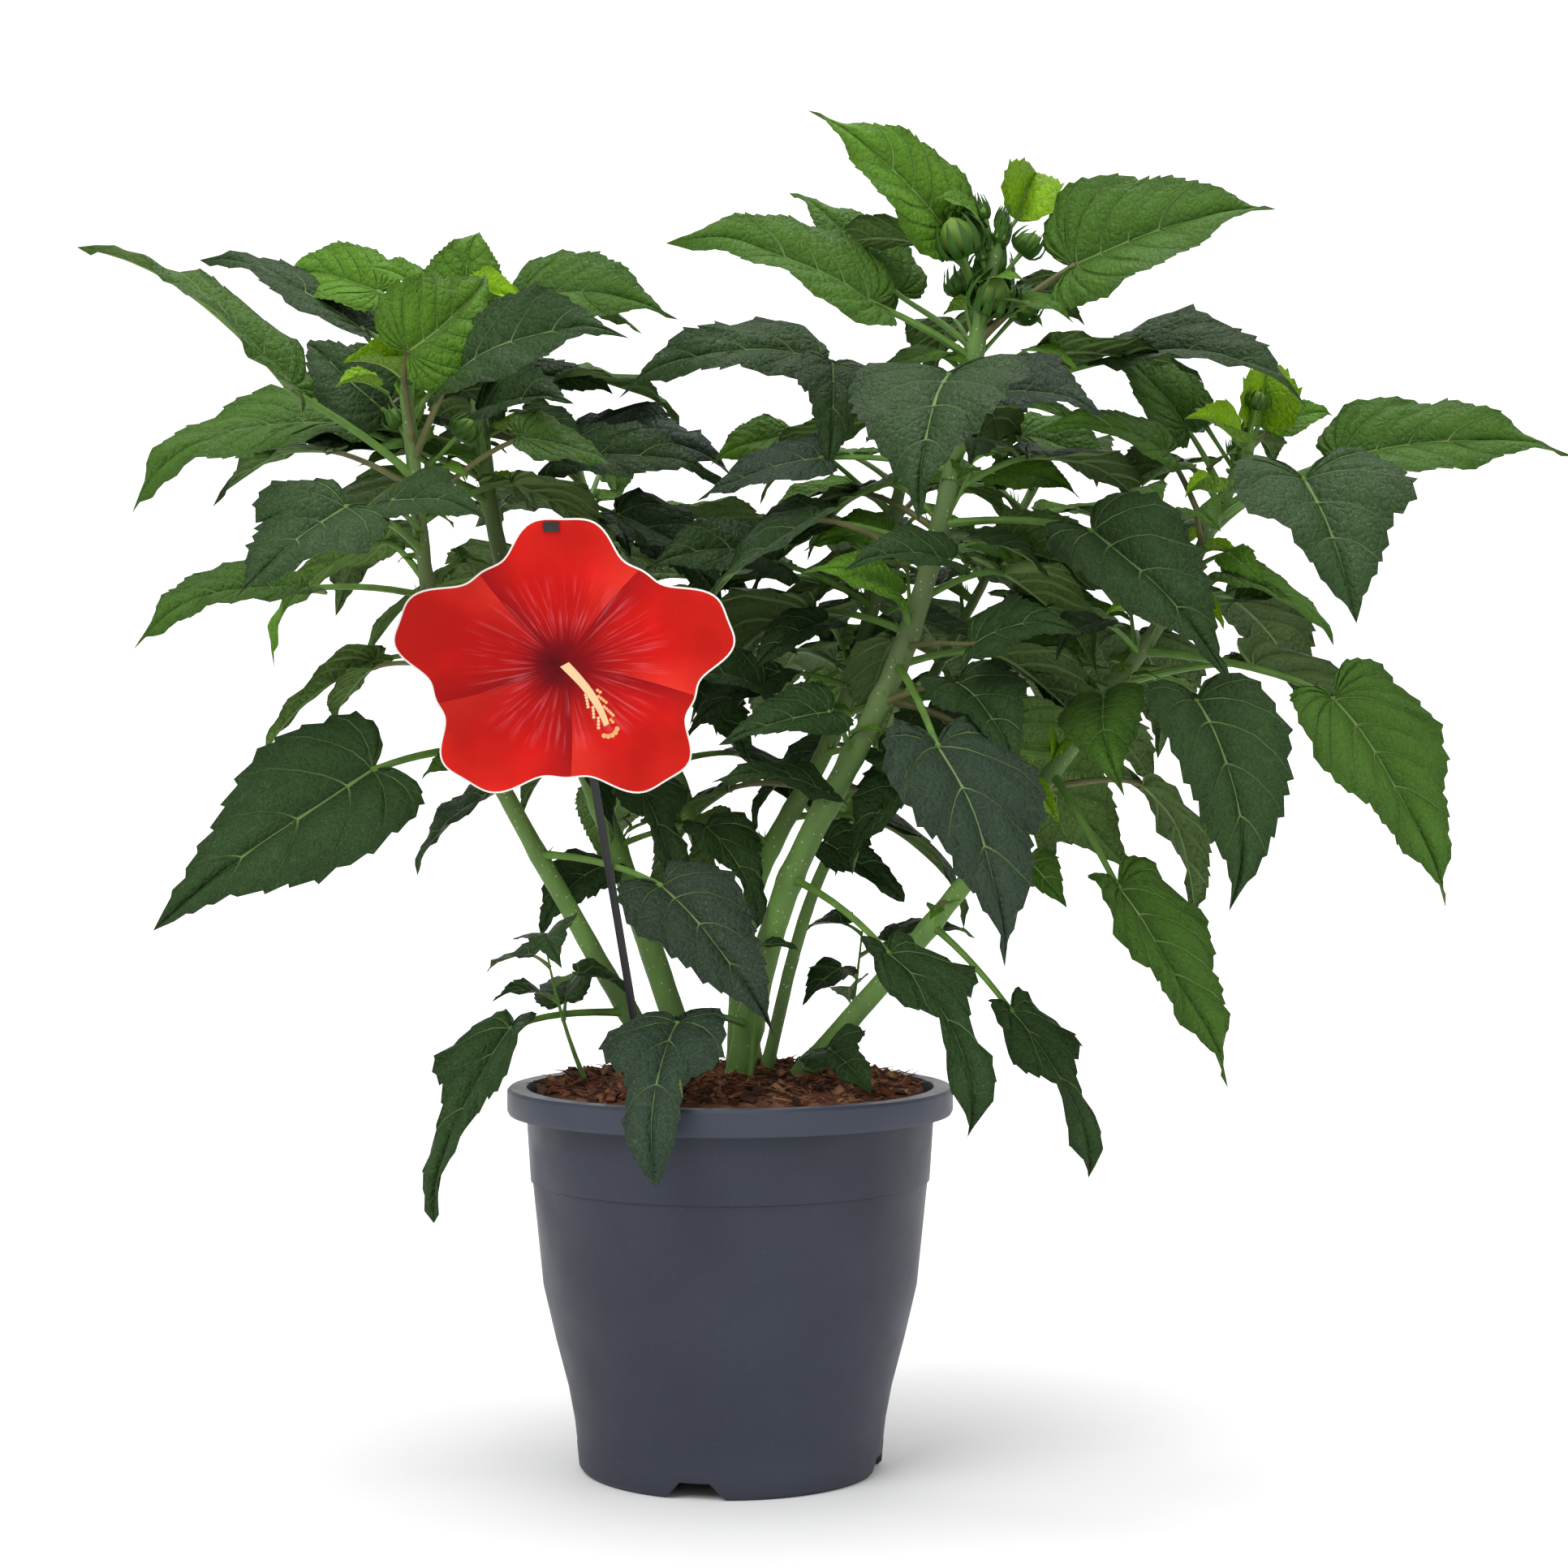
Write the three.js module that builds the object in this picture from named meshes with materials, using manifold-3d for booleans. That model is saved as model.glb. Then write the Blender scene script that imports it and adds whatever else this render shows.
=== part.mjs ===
// A hibiscus shrub in its nursery pot, with its picture label.
// Millimetres, +Z up, +X to the right of the front view, +Y away from it.
// The origin is the centre of the pot's underside.
import * as THREE from "three";
import { mergeVertices } from "three/addons/utils/BufferGeometryUtils.js";
import Module from "manifold-3d";

const wasm = await Module();
wasm.setup();

// ---------- sizes ----------

const GAP = 0.3;

const POT = {
  height: 204.5,
  rimRadius: 120,
  rimBand: 14,
  neckRadius: 109.7,
  footRadius: 81.5,
  wall: 2.5,
  floorHeight: 13.5,
  padRadius: 22,
  notches: 4,
  notchTurn: -102,
  notchBottom: 34,
  notchTop: 16,
  notchHeight: 9,
  drains: 6,
  drainRadius: 5,
  drainRing: 50,
  sides: 32,
};

const SOIL = { edge: 199, middle: 204, lump: 1.2 };

// The card hangs on its stake by a slot, and both lean: forwards at the top and to the left.
const CARD = {
  width: 182,
  height: 154,
  thick: 0.8,
  petals: 5,
  lobe: 0.14,
  ripple: 0.025,
  aside: -5,
  slot: [7, 4],
};
const STAKE = {
  foot: [-42, -24, 190],
  width: 4.2,
  thick: 1.8,
  long: 318,
  lean: 10.5,
  tilt: 8.7,
};

const LEAF = {
  thickShare: 0.026,
  droop: 38,
  fold: 14,
  lobe: 0.13,
  stalkRoot: 1.7,
  stalkEnd: 1.2,
};
const THIN = 0.7;
const BOUGH_SIDES = 8;
const BOUGH_STEPS = 7;

// Half the blade's width, as a share of the whole width, at shares of its length.
const OUTLINE = [[0.4, 0.08], [0.5, 0.26], [0.29, 0.62], [0, 1]];

// Each stem: its route from soil to tip, its radius at both ends, and the share of it below the crown.
const STEMS = {
  left_front: {
    route: [[-20, -4, 190], [-72, -6, 274], [-150, -22, 430], [-168, -62, 576]],
    radius: [6, 3.2],
    bare: 0.68,
  },
  left_back: {
    route: [[-14, 12, 190], [-70, 16, 352], [-126, 28, 490], [-144, 36, 625]],
    radius: [7.5, 3.4],
    bare: 0.7,
  },
  centre_back: {
    route: [[2, 20, 190], [12, 30, 307], [62, 42, 410], [104, 58, 575]],
    radius: [6.5, 3.2],
    bare: 0.5,
  },
  main: {
    route: [[0, -6, 190], [30, -18, 310], [98, -32, 455], [141, -40, 652]],
    radius: [8, 3.8],
    bare: 0.47,
  },
  right: {
    route: [[20, -8, 190], [114, -18, 300], [223, -24, 444], [280, -14, 552]],
    radius: [6.4, 3],
    bare: 0.6,
  },
  right_back: {
    route: [[14, 17, 190], [49, 45, 316], [120, 85, 440], [185, 120, 560]],
    radius: [3.8, 2.4],
    bare: 0.55,
  },
  left_far: {
    route: [[16, 46, 190], [-6, 62, 295], [-50, 92, 420], [-95, 130, 560]],
    radius: [6, 3],
    bare: 0.6,
  },
};

// Leaves that give each stem its outline, from the foot up. Angles are in degrees, lengths in mm.
// at: share of the stem; stalk: heading, rise, length; blade: heading, rise, length, width;
// face: how far the upper side is turned from the sky towards the front.
const LEAVES = {
  left_front: [
    { at: 0.15, stalk: [-150, -5, 70], blade: [-135, -60, 110, 42], face: 10 },
    { at: 0.38, stalk: [-45, -10, 90], blade: [-40, -45, 105, 58], face: 40 },
    { at: 0.51, stalk: [-90, 0, 30], blade: [-140, -15, 30, 20], face: 30 },
    { at: 0.53, stalk: [-140, -10, 70], blade: [-160, -35, 140, 82], face: 60 },
    { at: 0.73, stalk: [-135, 0, 85], blade: [-155, -20, 90, 48], face: 25 },
    { at: 0.75, stalk: [145, 35, 40], blade: [-155, -45, 95, 50], face: -30 },
    { at: 0.79, stalk: [-110, 10, 85], blade: [-130, -35, 85, 62], face: 35 },
    { at: 0.81, stalk: [-95, 10, 65], blade: [-25, -10, 55, 40], face: 40 },
    { at: 0.84, stalk: [-20, 30, 70], blade: [30, -15, 60, 44], face: 45 },
    { at: 0.88, stalk: [-145, 30, 85], blade: [-170, 35, 125, 66], face: 55 },
    { at: 0.9, stalk: [-55, 40, 65], blade: [-20, 10, 95, 64], face: 50 },
    { at: 0.92, stalk: [-85, 40, 65], blade: [50, 40, 75, 62], face: -60 },
    { at: 0.94, stalk: [140, 30, 25], blade: [155, 40, 65, 48], face: 50 },
    { at: 0.97, stalk: [-90, 25, 25], blade: [-140, 10, 35, 22], face: 40 },
  ],
  left_back: [
    { at: 0.33, stalk: [-25, 10, 60], blade: [-20, -60, 62, 44], face: 20 },
    { at: 0.38, stalk: [-60, 20, 45], blade: [-30, -65, 65, 40], face: 20 },
    { at: 0.44, stalk: [170, -20, 60], blade: [160, -45, 60, 40], face: 30 },
    { at: 0.57, stalk: [-175, 0, 90], blade: [-170, -40, 80, 34], face: -20 },
    { at: 0.77, stalk: [-155, 25, 95], blade: [-175, -20, 125, 72], face: 30 },
    { at: 0.8, stalk: [160, 20, 70], blade: [160, 0, 105, 66], face: 35 },
    { at: 0.82, stalk: [-80, 25, 50], blade: [-35, 0, 70, 48], face: 45 },
    { at: 0.85, stalk: [95, 50, 45], blade: [0, 0, 75, 48], face: 35 },
    { at: 0.9, stalk: [160, 30, 85], blade: [170, 25, 105, 62], face: 50 },
    { at: 0.91, stalk: [-30, 60, 55], blade: [-25, -10, 100, 62], face: 45 },
    { at: 0.92, stalk: [155, 40, 85], blade: [155, 10, 75, 46], face: 50 },
    { at: 0.97, stalk: [-140, 40, 30], blade: [-145, 20, 50, 34], face: 45 },
    { at: 0.98, stalk: [85, 70, 15], blade: [40, 20, 40, 28], face: 30 },
    { at: 0.99, stalk: [-100, 35, 15], blade: [60, 75, 48, 46], face: -20 },
    { at: 0.99, stalk: [-85, 10, 30], blade: [-40, 0, 45, 26], face: 40 },
  ],
  centre_back: [
    { at: 0.36, stalk: [-145, 25, 30], blade: [-155, -65, 55, 44], face: -50 },
    { at: 0.42, stalk: [75, 10, 60], blade: [80, -40, 80, 52], face: 10 },
    { at: 0.53, stalk: [-135, 25, 60], blade: [-145, 5, 55, 40], face: 45 },
    { at: 0.62, stalk: [-110, 30, 55], blade: [-145, -30, 60, 30], face: 30 },
    { at: 0.72, stalk: [-135, 15, 80], blade: [-155, -5, 80, 48], face: 45 },
    { at: 0.75, stalk: [-85, 25, 60], blade: [-165, -10, 50, 34], face: 40 },
    { at: 0.85, stalk: [-165, 35, 75], blade: [-165, -20, 48, 32], face: 45 },
    { at: 0.92, stalk: [-140, 40, 85], blade: [-165, -10, 115, 56], face: 40 },
    { at: 0.95, stalk: [-125, 25, 85], blade: [-95, -60, 72, 40], face: 15 },
  ],
  main: [
    { at: 0.1, stalk: [-115, 5, 85], blade: [-100, -55, 92, 56], face: 0 },
    { at: 0.27, stalk: [-60, -20, 105], blade: [-45, -55, 105, 44], face: 10 },
    { at: 0.36, stalk: [-90, 10, 35], blade: [-160, 5, 65, 34], face: 30 },
    { at: 0.42, stalk: [-110, 30, 45], blade: [-155, -15, 65, 42], face: 40 },
    { at: 0.49, stalk: [40, -15, 80], blade: [10, -40, 120, 84], face: -50 },
    { at: 0.53, stalk: [-80, -25, 105], blade: [-50, -65, 118, 80], face: 10 },
    { at: 0.55, stalk: [-55, 0, 60], blade: [-30, 5, 60, 38], face: 50 },
    { at: 0.57, stalk: [-105, 30, 35], blade: [-160, 10, 55, 36], face: 45 },
    { at: 0.65, stalk: [-75, -5, 30], blade: [-160, -5, 60, 38], face: 40 },
    { at: 0.69, stalk: [-25, -5, 85], blade: [-35, -45, 112, 66], face: 45 },
    { at: 0.8, stalk: [-70, 10, 55], blade: [-25, -15, 55, 46], face: 45 },
    { at: 0.81, stalk: [10, 20, 95], blade: [-25, -15, 105, 66], face: 35 },
    { at: 0.83, stalk: [-100, 0, 80], blade: [-105, -45, 108, 88], face: 0 },
    { at: 0.87, stalk: [-160, 25, 65], blade: [-165, 15, 112, 66], face: 45 },
    { at: 0.88, stalk: [140, 35, 65], blade: [170, 45, 82, 54], face: 45 },
    { at: 0.89, stalk: [-20, 35, 65], blade: [-15, 15, 108, 80], face: 60 },
    { at: 0.92, stalk: [-170, 65, 50], blade: [-165, 38, 94, 58], face: 55 },
    { at: 0.99, stalk: [40, 50, 25], blade: [60, 50, 38, 32], face: 40 },
    { at: 0.99, stalk: [-160, 55, 18], blade: [-150, 20, 30, 22], face: 40 },
  ],
  right: [
    { at: 0.08, stalk: [-70, 20, 30], blade: [-60, -25, 44, 34], face: 35 },
    { at: 0.3, stalk: [-50, -35, 75], blade: [-25, -60, 95, 36], face: 30 },
    { at: 0.42, stalk: [-55, -15, 30], blade: [-50, -40, 36, 24], face: 40 },
    { at: 0.53, stalk: [-60, -45, 85], blade: [-20, -60, 115, 62], face: 25 },
    { at: 0.63, stalk: [-60, 0, 80], blade: [-65, -72, 112, 68], face: 10 },
    { at: 0.71, stalk: [-20, -15, 105], blade: [-10, -62, 122, 74], face: 25 },
    { at: 0.76, stalk: [-20, 10, 40], blade: [-40, 0, 32, 22], face: 40 },
    { at: 0.82, stalk: [-35, 20, 25], blade: [-50, -35, 30, 20], face: 40 },
    { at: 0.87, stalk: [-165, 60, 50], blade: [-170, 10, 72, 42], face: 40 },
    { at: 0.89, stalk: [-5, 25, 75], blade: [-8, 0, 120, 62], face: -50 },
    { at: 0.9, stalk: [-70, 5, 90], blade: [-75, -52, 95, 84], face: 10 },
    { at: 0.92, stalk: [130, 55, 50], blade: [165, 45, 75, 46], face: 45 },
    { at: 0.97, stalk: [-110, 20, 25], blade: [-150, 15, 34, 22], face: 45 },
    { at: 0.98, stalk: [15, 40, 20], blade: [25, 15, 42, 26], face: 45 },
    { at: 0.99, stalk: [35, 60, 15], blade: [65, 65, 36, 32], face: 30 },
  ],
  right_back: [
    { at: 0.36, stalk: [-100, 5, 25], blade: [-20, -35, 55, 34], face: 40 },
    { at: 0.46, stalk: [20, 10, 55], blade: [15, -45, 75, 50], face: 20 },
    { at: 0.66, stalk: [-40, 10, 50], blade: [0, -30, 58, 50], face: 40 },
    { at: 0.86, stalk: [-95, -10, 50], blade: [0, -20, 85, 58], face: -45 },
    { at: 0.94, stalk: [-110, 0, 75], blade: [-20, -15, 50, 34], face: 40 },
    { at: 0.99, stalk: [-110, 5, 60], blade: [-10, -30, 68, 46], face: 35 },
  ],
  left_far: [
    { at: 0.47, stalk: [120, 0, 60], blade: [110, -45, 80, 54], face: 0 },
    { at: 0.86, stalk: [-60, 0, 75], blade: [-30, -45, 62, 44], face: 30 },
    { at: 0.98, stalk: [-85, 5, 55], blade: [-25, -10, 105, 54], face: 40 },
  ],
};

// Leaves on the far side of each crown, dealt out by rule: how many, and the seed.
const FAR_LEAVES = {
  left_front: [6, 21],
  left_back: [9, 22],
  centre_back: [8, 23],
  main: [12, 24],
  right: [8, 25],
  right_back: [8, 26],
  left_far: [9, 27],
};

// Flower buds round a stem's tip: how many, the share where they start, their width, the seed.
const BUDS = {
  left_front: [4, 0.86, 12, 31],
  left_back: [4, 0.9, 10, 32],
  main: [9, 0.86, 15, 34],
  right: [4, 0.93, 9, 35],
};
const BUD_STALK = 1.3;

// Short twigs in the crowns, each with small leaves: how many, and the seed.
const TWIGS = {
  left_front: [1, 51],
  left_back: [1, 52],
  centre_back: [1, 53],
  main: [3, 54],
  right: [2, 55],
  right_back: [1, 56],
  left_far: [1, 57],
};
const TWIG = { long: 46, radius: 1.5, leaves: 2, leaf: 30 };

// Shoots from the soil, with small leaves: foot, heading and rise, length, leaves, their length, seed.
const SHOOTS = {
  shoot_left: { foot: [-68, -22, 190], aim: [-148, 70], long: 98, leaves: 5, leaf: 44, seed: 41 },
  shoot_middle: { foot: [9, -38, 190], aim: [60, 86], long: 104, leaves: 4, leaf: 26, seed: 42 },
  shoot_back: { foot: [56, 44, 190], aim: [60, 70], long: 100, leaves: 4, leaf: 46, seed: 43 },
};
const SHOOT_RADIUS = 1.8;

// ---------- finishes ----------

const finish = (color, roughness) => new THREE.MeshStandardMaterial({ color, roughness, metalness: 0 });
const FINISH = {
  pot: finish(0x3d4147, 0.55),
  soil: finish(0x4a2a1c, 0.95),
  bark: finish(0x5f8f4a, 0.6),
  leaf: finish(0x2f5a34, 0.55),
  label_card: finish(0xe0281e, 0.35),
  label_stake: finish(0x17181a, 0.45),
};

// ---------- helpers ----------

const rad = THREE.MathUtils.degToRad;
const mix = THREE.MathUtils.lerp;
const vector = (list) => new THREE.Vector3(...list);

// A number between 0 and 1 at each call, the same every time for the same seed.
function seeded(seed) {
  let state = seed;
  return () => {
    state = (state * 1664525 + 1013904223) % 4294967296;
    return state / 4294967296;
  };
}

// The unit vector of a compass heading and a rise, both in degrees.
function direction(heading, rise) {
  const [level, turn] = [Math.cos(rad(rise)), rad(heading)];
  return new THREE.Vector3(level * Math.cos(turn), level * Math.sin(turn), Math.sin(rad(rise)));
}

// A closed geometry as a manifold-3d solid, with the faces that collapse to a line left out.
function solid(geometry) {
  const bare = geometry.clone();
  bare.deleteAttribute("normal");
  bare.deleteAttribute("uv");
  const merged = mergeVertices(bare, 1e-3);
  const corners = merged.index.array;
  const faces = [];
  for (let i = 0; i < corners.length; i += 3) {
    const [a, b, c] = [corners[i], corners[i + 1], corners[i + 2]];
    if (a !== b && b !== c && c !== a) faces.push(a, b, c);
  }
  const vertProperties = merged.attributes.position.array;
  return new wasm.Manifold(new wasm.Mesh({ numProp: 3, vertProperties, triVerts: new Uint32Array(faces) }));
}

// A solid as a named mesh.
function meshOf(name, body, material) {
  const shape = body.getMesh();
  const geometry = new THREE.BufferGeometry();
  geometry.setAttribute("position", new THREE.BufferAttribute(new Float32Array(shape.vertProperties), 3));
  geometry.setIndex(new THREE.BufferAttribute(new Uint32Array(shape.triVerts), 1));
  geometry.computeVertexNormals();
  const mesh = new THREE.Mesh(geometry, material);
  mesh.name = name;
  return mesh;
}

// Solids joined into one body: loose scraps are dropped and sealed hollows are filled.
function fuse(bodies) {
  const pieces = wasm.Manifold.union(bodies).decompose();
  return pieces.reduce((largest, piece) => (piece.volume() > largest.volume() ? piece : largest));
}

// Part of a longer curve, between two shares of its length.
class Stretch extends THREE.Curve {
  constructor(whole, from, to) {
    super();
    this.whole = whole;
    this.from = from;
    this.to = to;
  }
  getPoint(t, target = new THREE.Vector3()) {
    return this.whole.getPointAt(mix(this.from, this.to, t), target);
  }
  getTangent(t, target = new THREE.Vector3()) {
    return this.whole.getTangentAt(mix(this.from, this.to, t), target);
  }
}

// A round limb along a curve, tapering from one radius to the other.
function limb(curve, startRadius, endRadius, sides, steps) {
  const ring = new THREE.Shape();
  for (let i = 0; i < sides; i++) {
    const turn = (2 * Math.PI * i) / sides;
    const corner = [Math.cos(turn), Math.sin(turn)];
    if (i === 0) ring.moveTo(...corner);
    else ring.lineTo(...corner);
  }
  const geometry = new THREE.ExtrudeGeometry(ring, { steps, extrudePath: curve, curveSegments: 1 });
  const centres = curve.getSpacedPoints(steps);
  const place = geometry.attributes.position;
  const corner = new THREE.Vector3();
  for (let i = 0; i < place.count; i++) {
    corner.fromBufferAttribute(place, i);
    let nearest = 0;
    centres.forEach((centre, k) => {
      if (corner.distanceToSquared(centre) < corner.distanceToSquared(centres[nearest])) nearest = k;
    });
    corner.sub(centres[nearest]).multiplyScalar(mix(startRadius, endRadius, nearest / steps));
    corner.add(centres[nearest]);
    place.setXYZ(i, corner.x, corner.y, corner.z);
  }
  return solid(geometry);
}

// ---------- pot, soil and label ----------

function lathe(outline) {
  const points = outline.map(([radius, height]) => new THREE.Vector2(radius, height));
  const geometry = new THREE.LatheGeometry(points, POT.sides);
  return geometry.rotateX(Math.PI / 2);
}

// The pot's body: radius and height up its outer side. The inner side is one wall's thickness in.
const SIDE = [[83.7, 26], [87.2, 44.6], [93.9, 70], [100.6, 98.5], [106.2, 153]];

function makePot() {
  const p = POT;
  const bandFoot = p.height - p.rimBand;
  const recess = p.floorHeight - p.wall;
  const inner = SIDE.map(([radius, height]) => [radius - p.wall, height]).reverse();
  let body = solid(
    lathe([
      [0, 0],
      [p.padRadius, 0],
      [p.padRadius + 4, recess],
      [p.footRadius - 11, recess],
      [p.footRadius - 6, 0],
      [p.footRadius - 2, 0],
      [p.footRadius, 2.5],
      ...SIDE,
      [107.4, 155],
      [p.neckRadius, bandFoot],
      [p.rimRadius - 1, bandFoot],
      [p.rimRadius, p.height - 1.5],
      [p.rimRadius - 1.5, p.height],
      [p.neckRadius, p.height],
      [p.neckRadius - p.wall, bandFoot],
      ...inner,
      [p.footRadius - p.wall, p.floorHeight],
      [0, p.floorHeight],
    ]),
  );
  const notch = new THREE.Shape();
  notch.moveTo(-p.notchBottom / 2, -1);
  notch.lineTo(p.notchBottom / 2, -1);
  notch.lineTo(p.notchTop / 2, p.notchHeight);
  notch.lineTo(-p.notchTop / 2, p.notchHeight);
  for (let i = 0; i < p.notches; i++) {
    const cutter = new THREE.ExtrudeGeometry(notch, { depth: 22, bevelEnabled: false });
    cutter.rotateX(Math.PI / 2);
    cutter.translate(0, p.footRadius + 8, 0);
    cutter.rotateZ(rad(p.notchTurn - 90 + (360 * i) / p.notches));
    body = body.subtract(solid(cutter));
  }
  const drain = new THREE.Shape();
  drain.absarc(p.drainRing, 0, p.drainRadius, 0, 2 * Math.PI);
  for (let i = 0; i < p.drains; i++) {
    const depth = p.floorHeight + 4;
    const cutter = new THREE.ExtrudeGeometry(drain, { depth, bevelEnabled: false, curveSegments: 5 });
    cutter.translate(0, 0, -2);
    cutter.rotateZ(rad((360 * (i + 0.5)) / p.drains));
    body = body.subtract(solid(cutter));
  }
  return body;
}

// The soil fills the pot up to its rim and is lumpy on top.
function makeSoil() {
  const inset = POT.wall + GAP + 0.1;
  const geometry = lathe([
    [0, POT.floorHeight + GAP],
    [POT.footRadius - inset, POT.floorHeight + GAP],
    ...SIDE.map(([radius, height]) => [radius - inset, height]),
    [POT.neckRadius - inset, 188.5],
    [POT.neckRadius - inset, SOIL.edge - 3],
    [94, SOIL.edge],
    [66, mix(SOIL.edge, SOIL.middle, 0.5)],
    [34, SOIL.middle],
    [0, SOIL.middle],
  ]);
  const place = geometry.attributes.position;
  for (let i = 0; i < place.count; i++) {
    const [x, y, z] = [place.getX(i), place.getY(i), place.getZ(i)];
    const lump = SOIL.lump * Math.sin(x / 9 + 2 * Math.sin(y / 17)) * Math.cos(y / 8);
    if (z > SOIL.edge - 1) place.setZ(i, z + lump);
  }
  return solid(geometry);
}

// The label in its own frame: x to the right, z up the lean, y back from the card, the stake's foot at 0.
const labelFrame = new THREE.Matrix4().makeRotationX(rad(STAKE.lean)).setPosition(...STAKE.foot);
const cardBack = -STAKE.thick / 2 - GAP;
const stakeAt = (rise) => -rise * Math.tan(rad(STAKE.tilt));
const slotRise = STAKE.long - CARD.slot[1];

function makeCard() {
  const outline = [];
  const reach = 1 + CARD.lobe;
  for (let i = 0; i < 60; i++) {
    const turn = (2 * Math.PI * i) / 60;
    const petal = CARD.lobe * Math.cos(CARD.petals * turn) - CARD.ripple * Math.cos(3 * CARD.petals * turn);
    const out = (1 + petal) / (2 * reach);
    outline.push(new THREE.Vector2(-CARD.width * out * Math.sin(turn), CARD.height * out * Math.cos(turn)));
  }
  const shape = new THREE.Shape(outline);
  const middle = slotRise - 0.5 * CARD.height + CARD.slot[1] + 2;
  const [wide, high] = CARD.slot;
  const slot = new THREE.Path();
  const slotX = stakeAt(slotRise) - stakeAt(middle) - CARD.aside;
  const slotY = slotRise - middle;
  slot.moveTo(slotX - wide / 2, slotY - high / 2);
  slot.lineTo(slotX - wide / 2, slotY + high / 2);
  slot.lineTo(slotX + wide / 2, slotY + high / 2);
  slot.lineTo(slotX + wide / 2, slotY - high / 2);
  shape.holes.push(slot);
  const geometry = new THREE.ExtrudeGeometry(shape, { depth: CARD.thick, bevelEnabled: false });
  geometry.rotateX(Math.PI / 2);
  geometry.translate(stakeAt(middle) + CARD.aside, cardBack, middle);
  return solid(geometry.applyMatrix4(labelFrame));
}

function makeStake(soil) {
  const barLength = STAKE.long / Math.cos(rad(STAKE.tilt));
  const bar = new THREE.BoxGeometry(STAKE.width, STAKE.thick, barLength);
  bar.translate(0, 0, barLength / 2);
  bar.rotateY(rad(-STAKE.tilt));
  const hookDepth = STAKE.thick / 2 + GAP + CARD.thick + 1.2;
  const hook = new THREE.BoxGeometry(STAKE.width, hookDepth, CARD.slot[1] - 1.2);
  hook.translate(stakeAt(slotRise), -hookDepth / 2, slotRise);
  const body = solid(bar.applyMatrix4(labelFrame)).add(solid(hook.applyMatrix4(labelFrame)));
  return body.subtract(soil);
}

// ---------- leaves, buds and twigs ----------

// A point of a blade that runs from 0 along +y and droops to its tip: across, along as a share, above.
function bladePoint(length, across, along, above) {
  const bend = rad(LEAF.droop);
  const radius = length / (2 * Math.sin(bend / 2));
  const turn = bend * (0.5 - along);
  const reach = radius * Math.sin(bend / 2) - (radius + above) * Math.sin(turn);
  const height = (radius + above) * Math.cos(turn) - radius * Math.cos(bend / 2);
  return new THREE.Vector3(across, reach, height);
}

// Turns +y to a heading and a rise, with +z as near the sky as it goes and then turned to the front.
function aimed(heading, rise, face) {
  const along = direction(heading, rise);
  const side = along.clone().cross(new THREE.Vector3(0, 0, 1)).normalize();
  const upper = side.clone().cross(along);
  if (side.y > 0) side.negate();
  upper.multiplyScalar(Math.cos(rad(face))).addScaledVector(side, Math.sin(rad(face)));
  return new THREE.Matrix4().makeBasis(along.clone().cross(upper), along, upper);
}

// The corners of a leaf's four-sided rings, across and above: upper side, edge, underside, edge.
const CORNERS = [[0, 1], [1, 0], [0, -1], [-1, 0]];

// A leaf on its stalk as one closed skin, rooted in the middle of a stem and turned by a swing.
// Its rings are a point and a ring at the root, a ring at the foot of the blade, and the blade's outline.
function leafBody(stem, leaf, thin, swing) {
  const [stalkHeading, stalkRise, stalkLength] = leaf.stalk;
  const [heading, rise, length, width] = leaf.blade;
  const root = stem.getPointAt(leaf.at);
  const out = direction(stalkHeading + swing, stalkRise);
  const base = root.clone().addScaledVector(out, stalkLength);
  const frame = aimed(heading + swing, rise, leaf.face);
  const [side, along, upper] = [0, 1, 2].map((k) => new THREE.Vector3().setFromMatrixColumn(frame, k));
  frame.setPosition(base);

  const tube = (centre, towards, radius) => {
    const turn = new THREE.Quaternion().setFromUnitVectors(along, towards);
    const [x, z] = [side.clone().applyQuaternion(turn), upper.clone().applyQuaternion(turn)];
    return (across, above) => centre.clone().addScaledVector(x, radius * across).addScaledVector(z, radius * above);
  };
  const fold = Math.tan(rad(LEAF.fold));
  const blade = ([half, share], k) => (across, above) => {
    const swept = k === 0 ? share - LEAF.lobe * Math.abs(across) : share;
    const height = LEAF.thickShare * length * half * above + fold * half * width * Math.abs(across);
    return bladePoint(length, half * width * across, swept, height).applyMatrix4(frame);
  };
  const rings = [
    tube(root, out, 0),
    tube(root, out, thin * LEAF.stalkRoot),
    tube(base, out.clone().add(along).normalize(), thin * LEAF.stalkEnd),
    ...OUTLINE.map(blade),
  ];
  const profile = rings.map((_, k) => new THREE.Vector2(k === 0 || k === rings.length - 1 ? 0 : 1, k));
  const geometry = new THREE.LatheGeometry(profile, CORNERS.length);
  const place = geometry.attributes.position;
  for (let i = 0; i < place.count; i++) {
    const corner = CORNERS[Math.floor(i / rings.length) % CORNERS.length];
    place.setXYZ(i, ...rings[i % rings.length](...corner).toArray());
  }
  return solid(geometry);
}

// Leaves on the far side of a stem, spread up it and round it by the golden section.
function farLeaves(bare, [count, seed]) {
  const draw = seeded(seed);
  const leaves = [];
  for (let i = 0; i < count; i++) {
    const up = (i + 0.5) / count;
    const spread = 2 * ((0.618 * i + 0.15 * draw()) % 1) - 1;
    const heading = 90 + 85 * spread;
    const stalk = [heading, mix(5, 40, up) + 10 * (draw() - 0.5), mix(80, 38, up)];
    const length = mix(112, 62, up) * (0.85 + 0.3 * draw());
    const rise = mix(-45, 0, up) + 20 * (draw() - 0.5);
    const blade = [heading + 30 * (draw() - 0.5), rise, length, 0.64 * length];
    leaves.push({ at: mix(bare + 0.04, 0.97, up), stalk, blade, face: 30 * (draw() - 0.5) });
  }
  return leaves;
}

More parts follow.
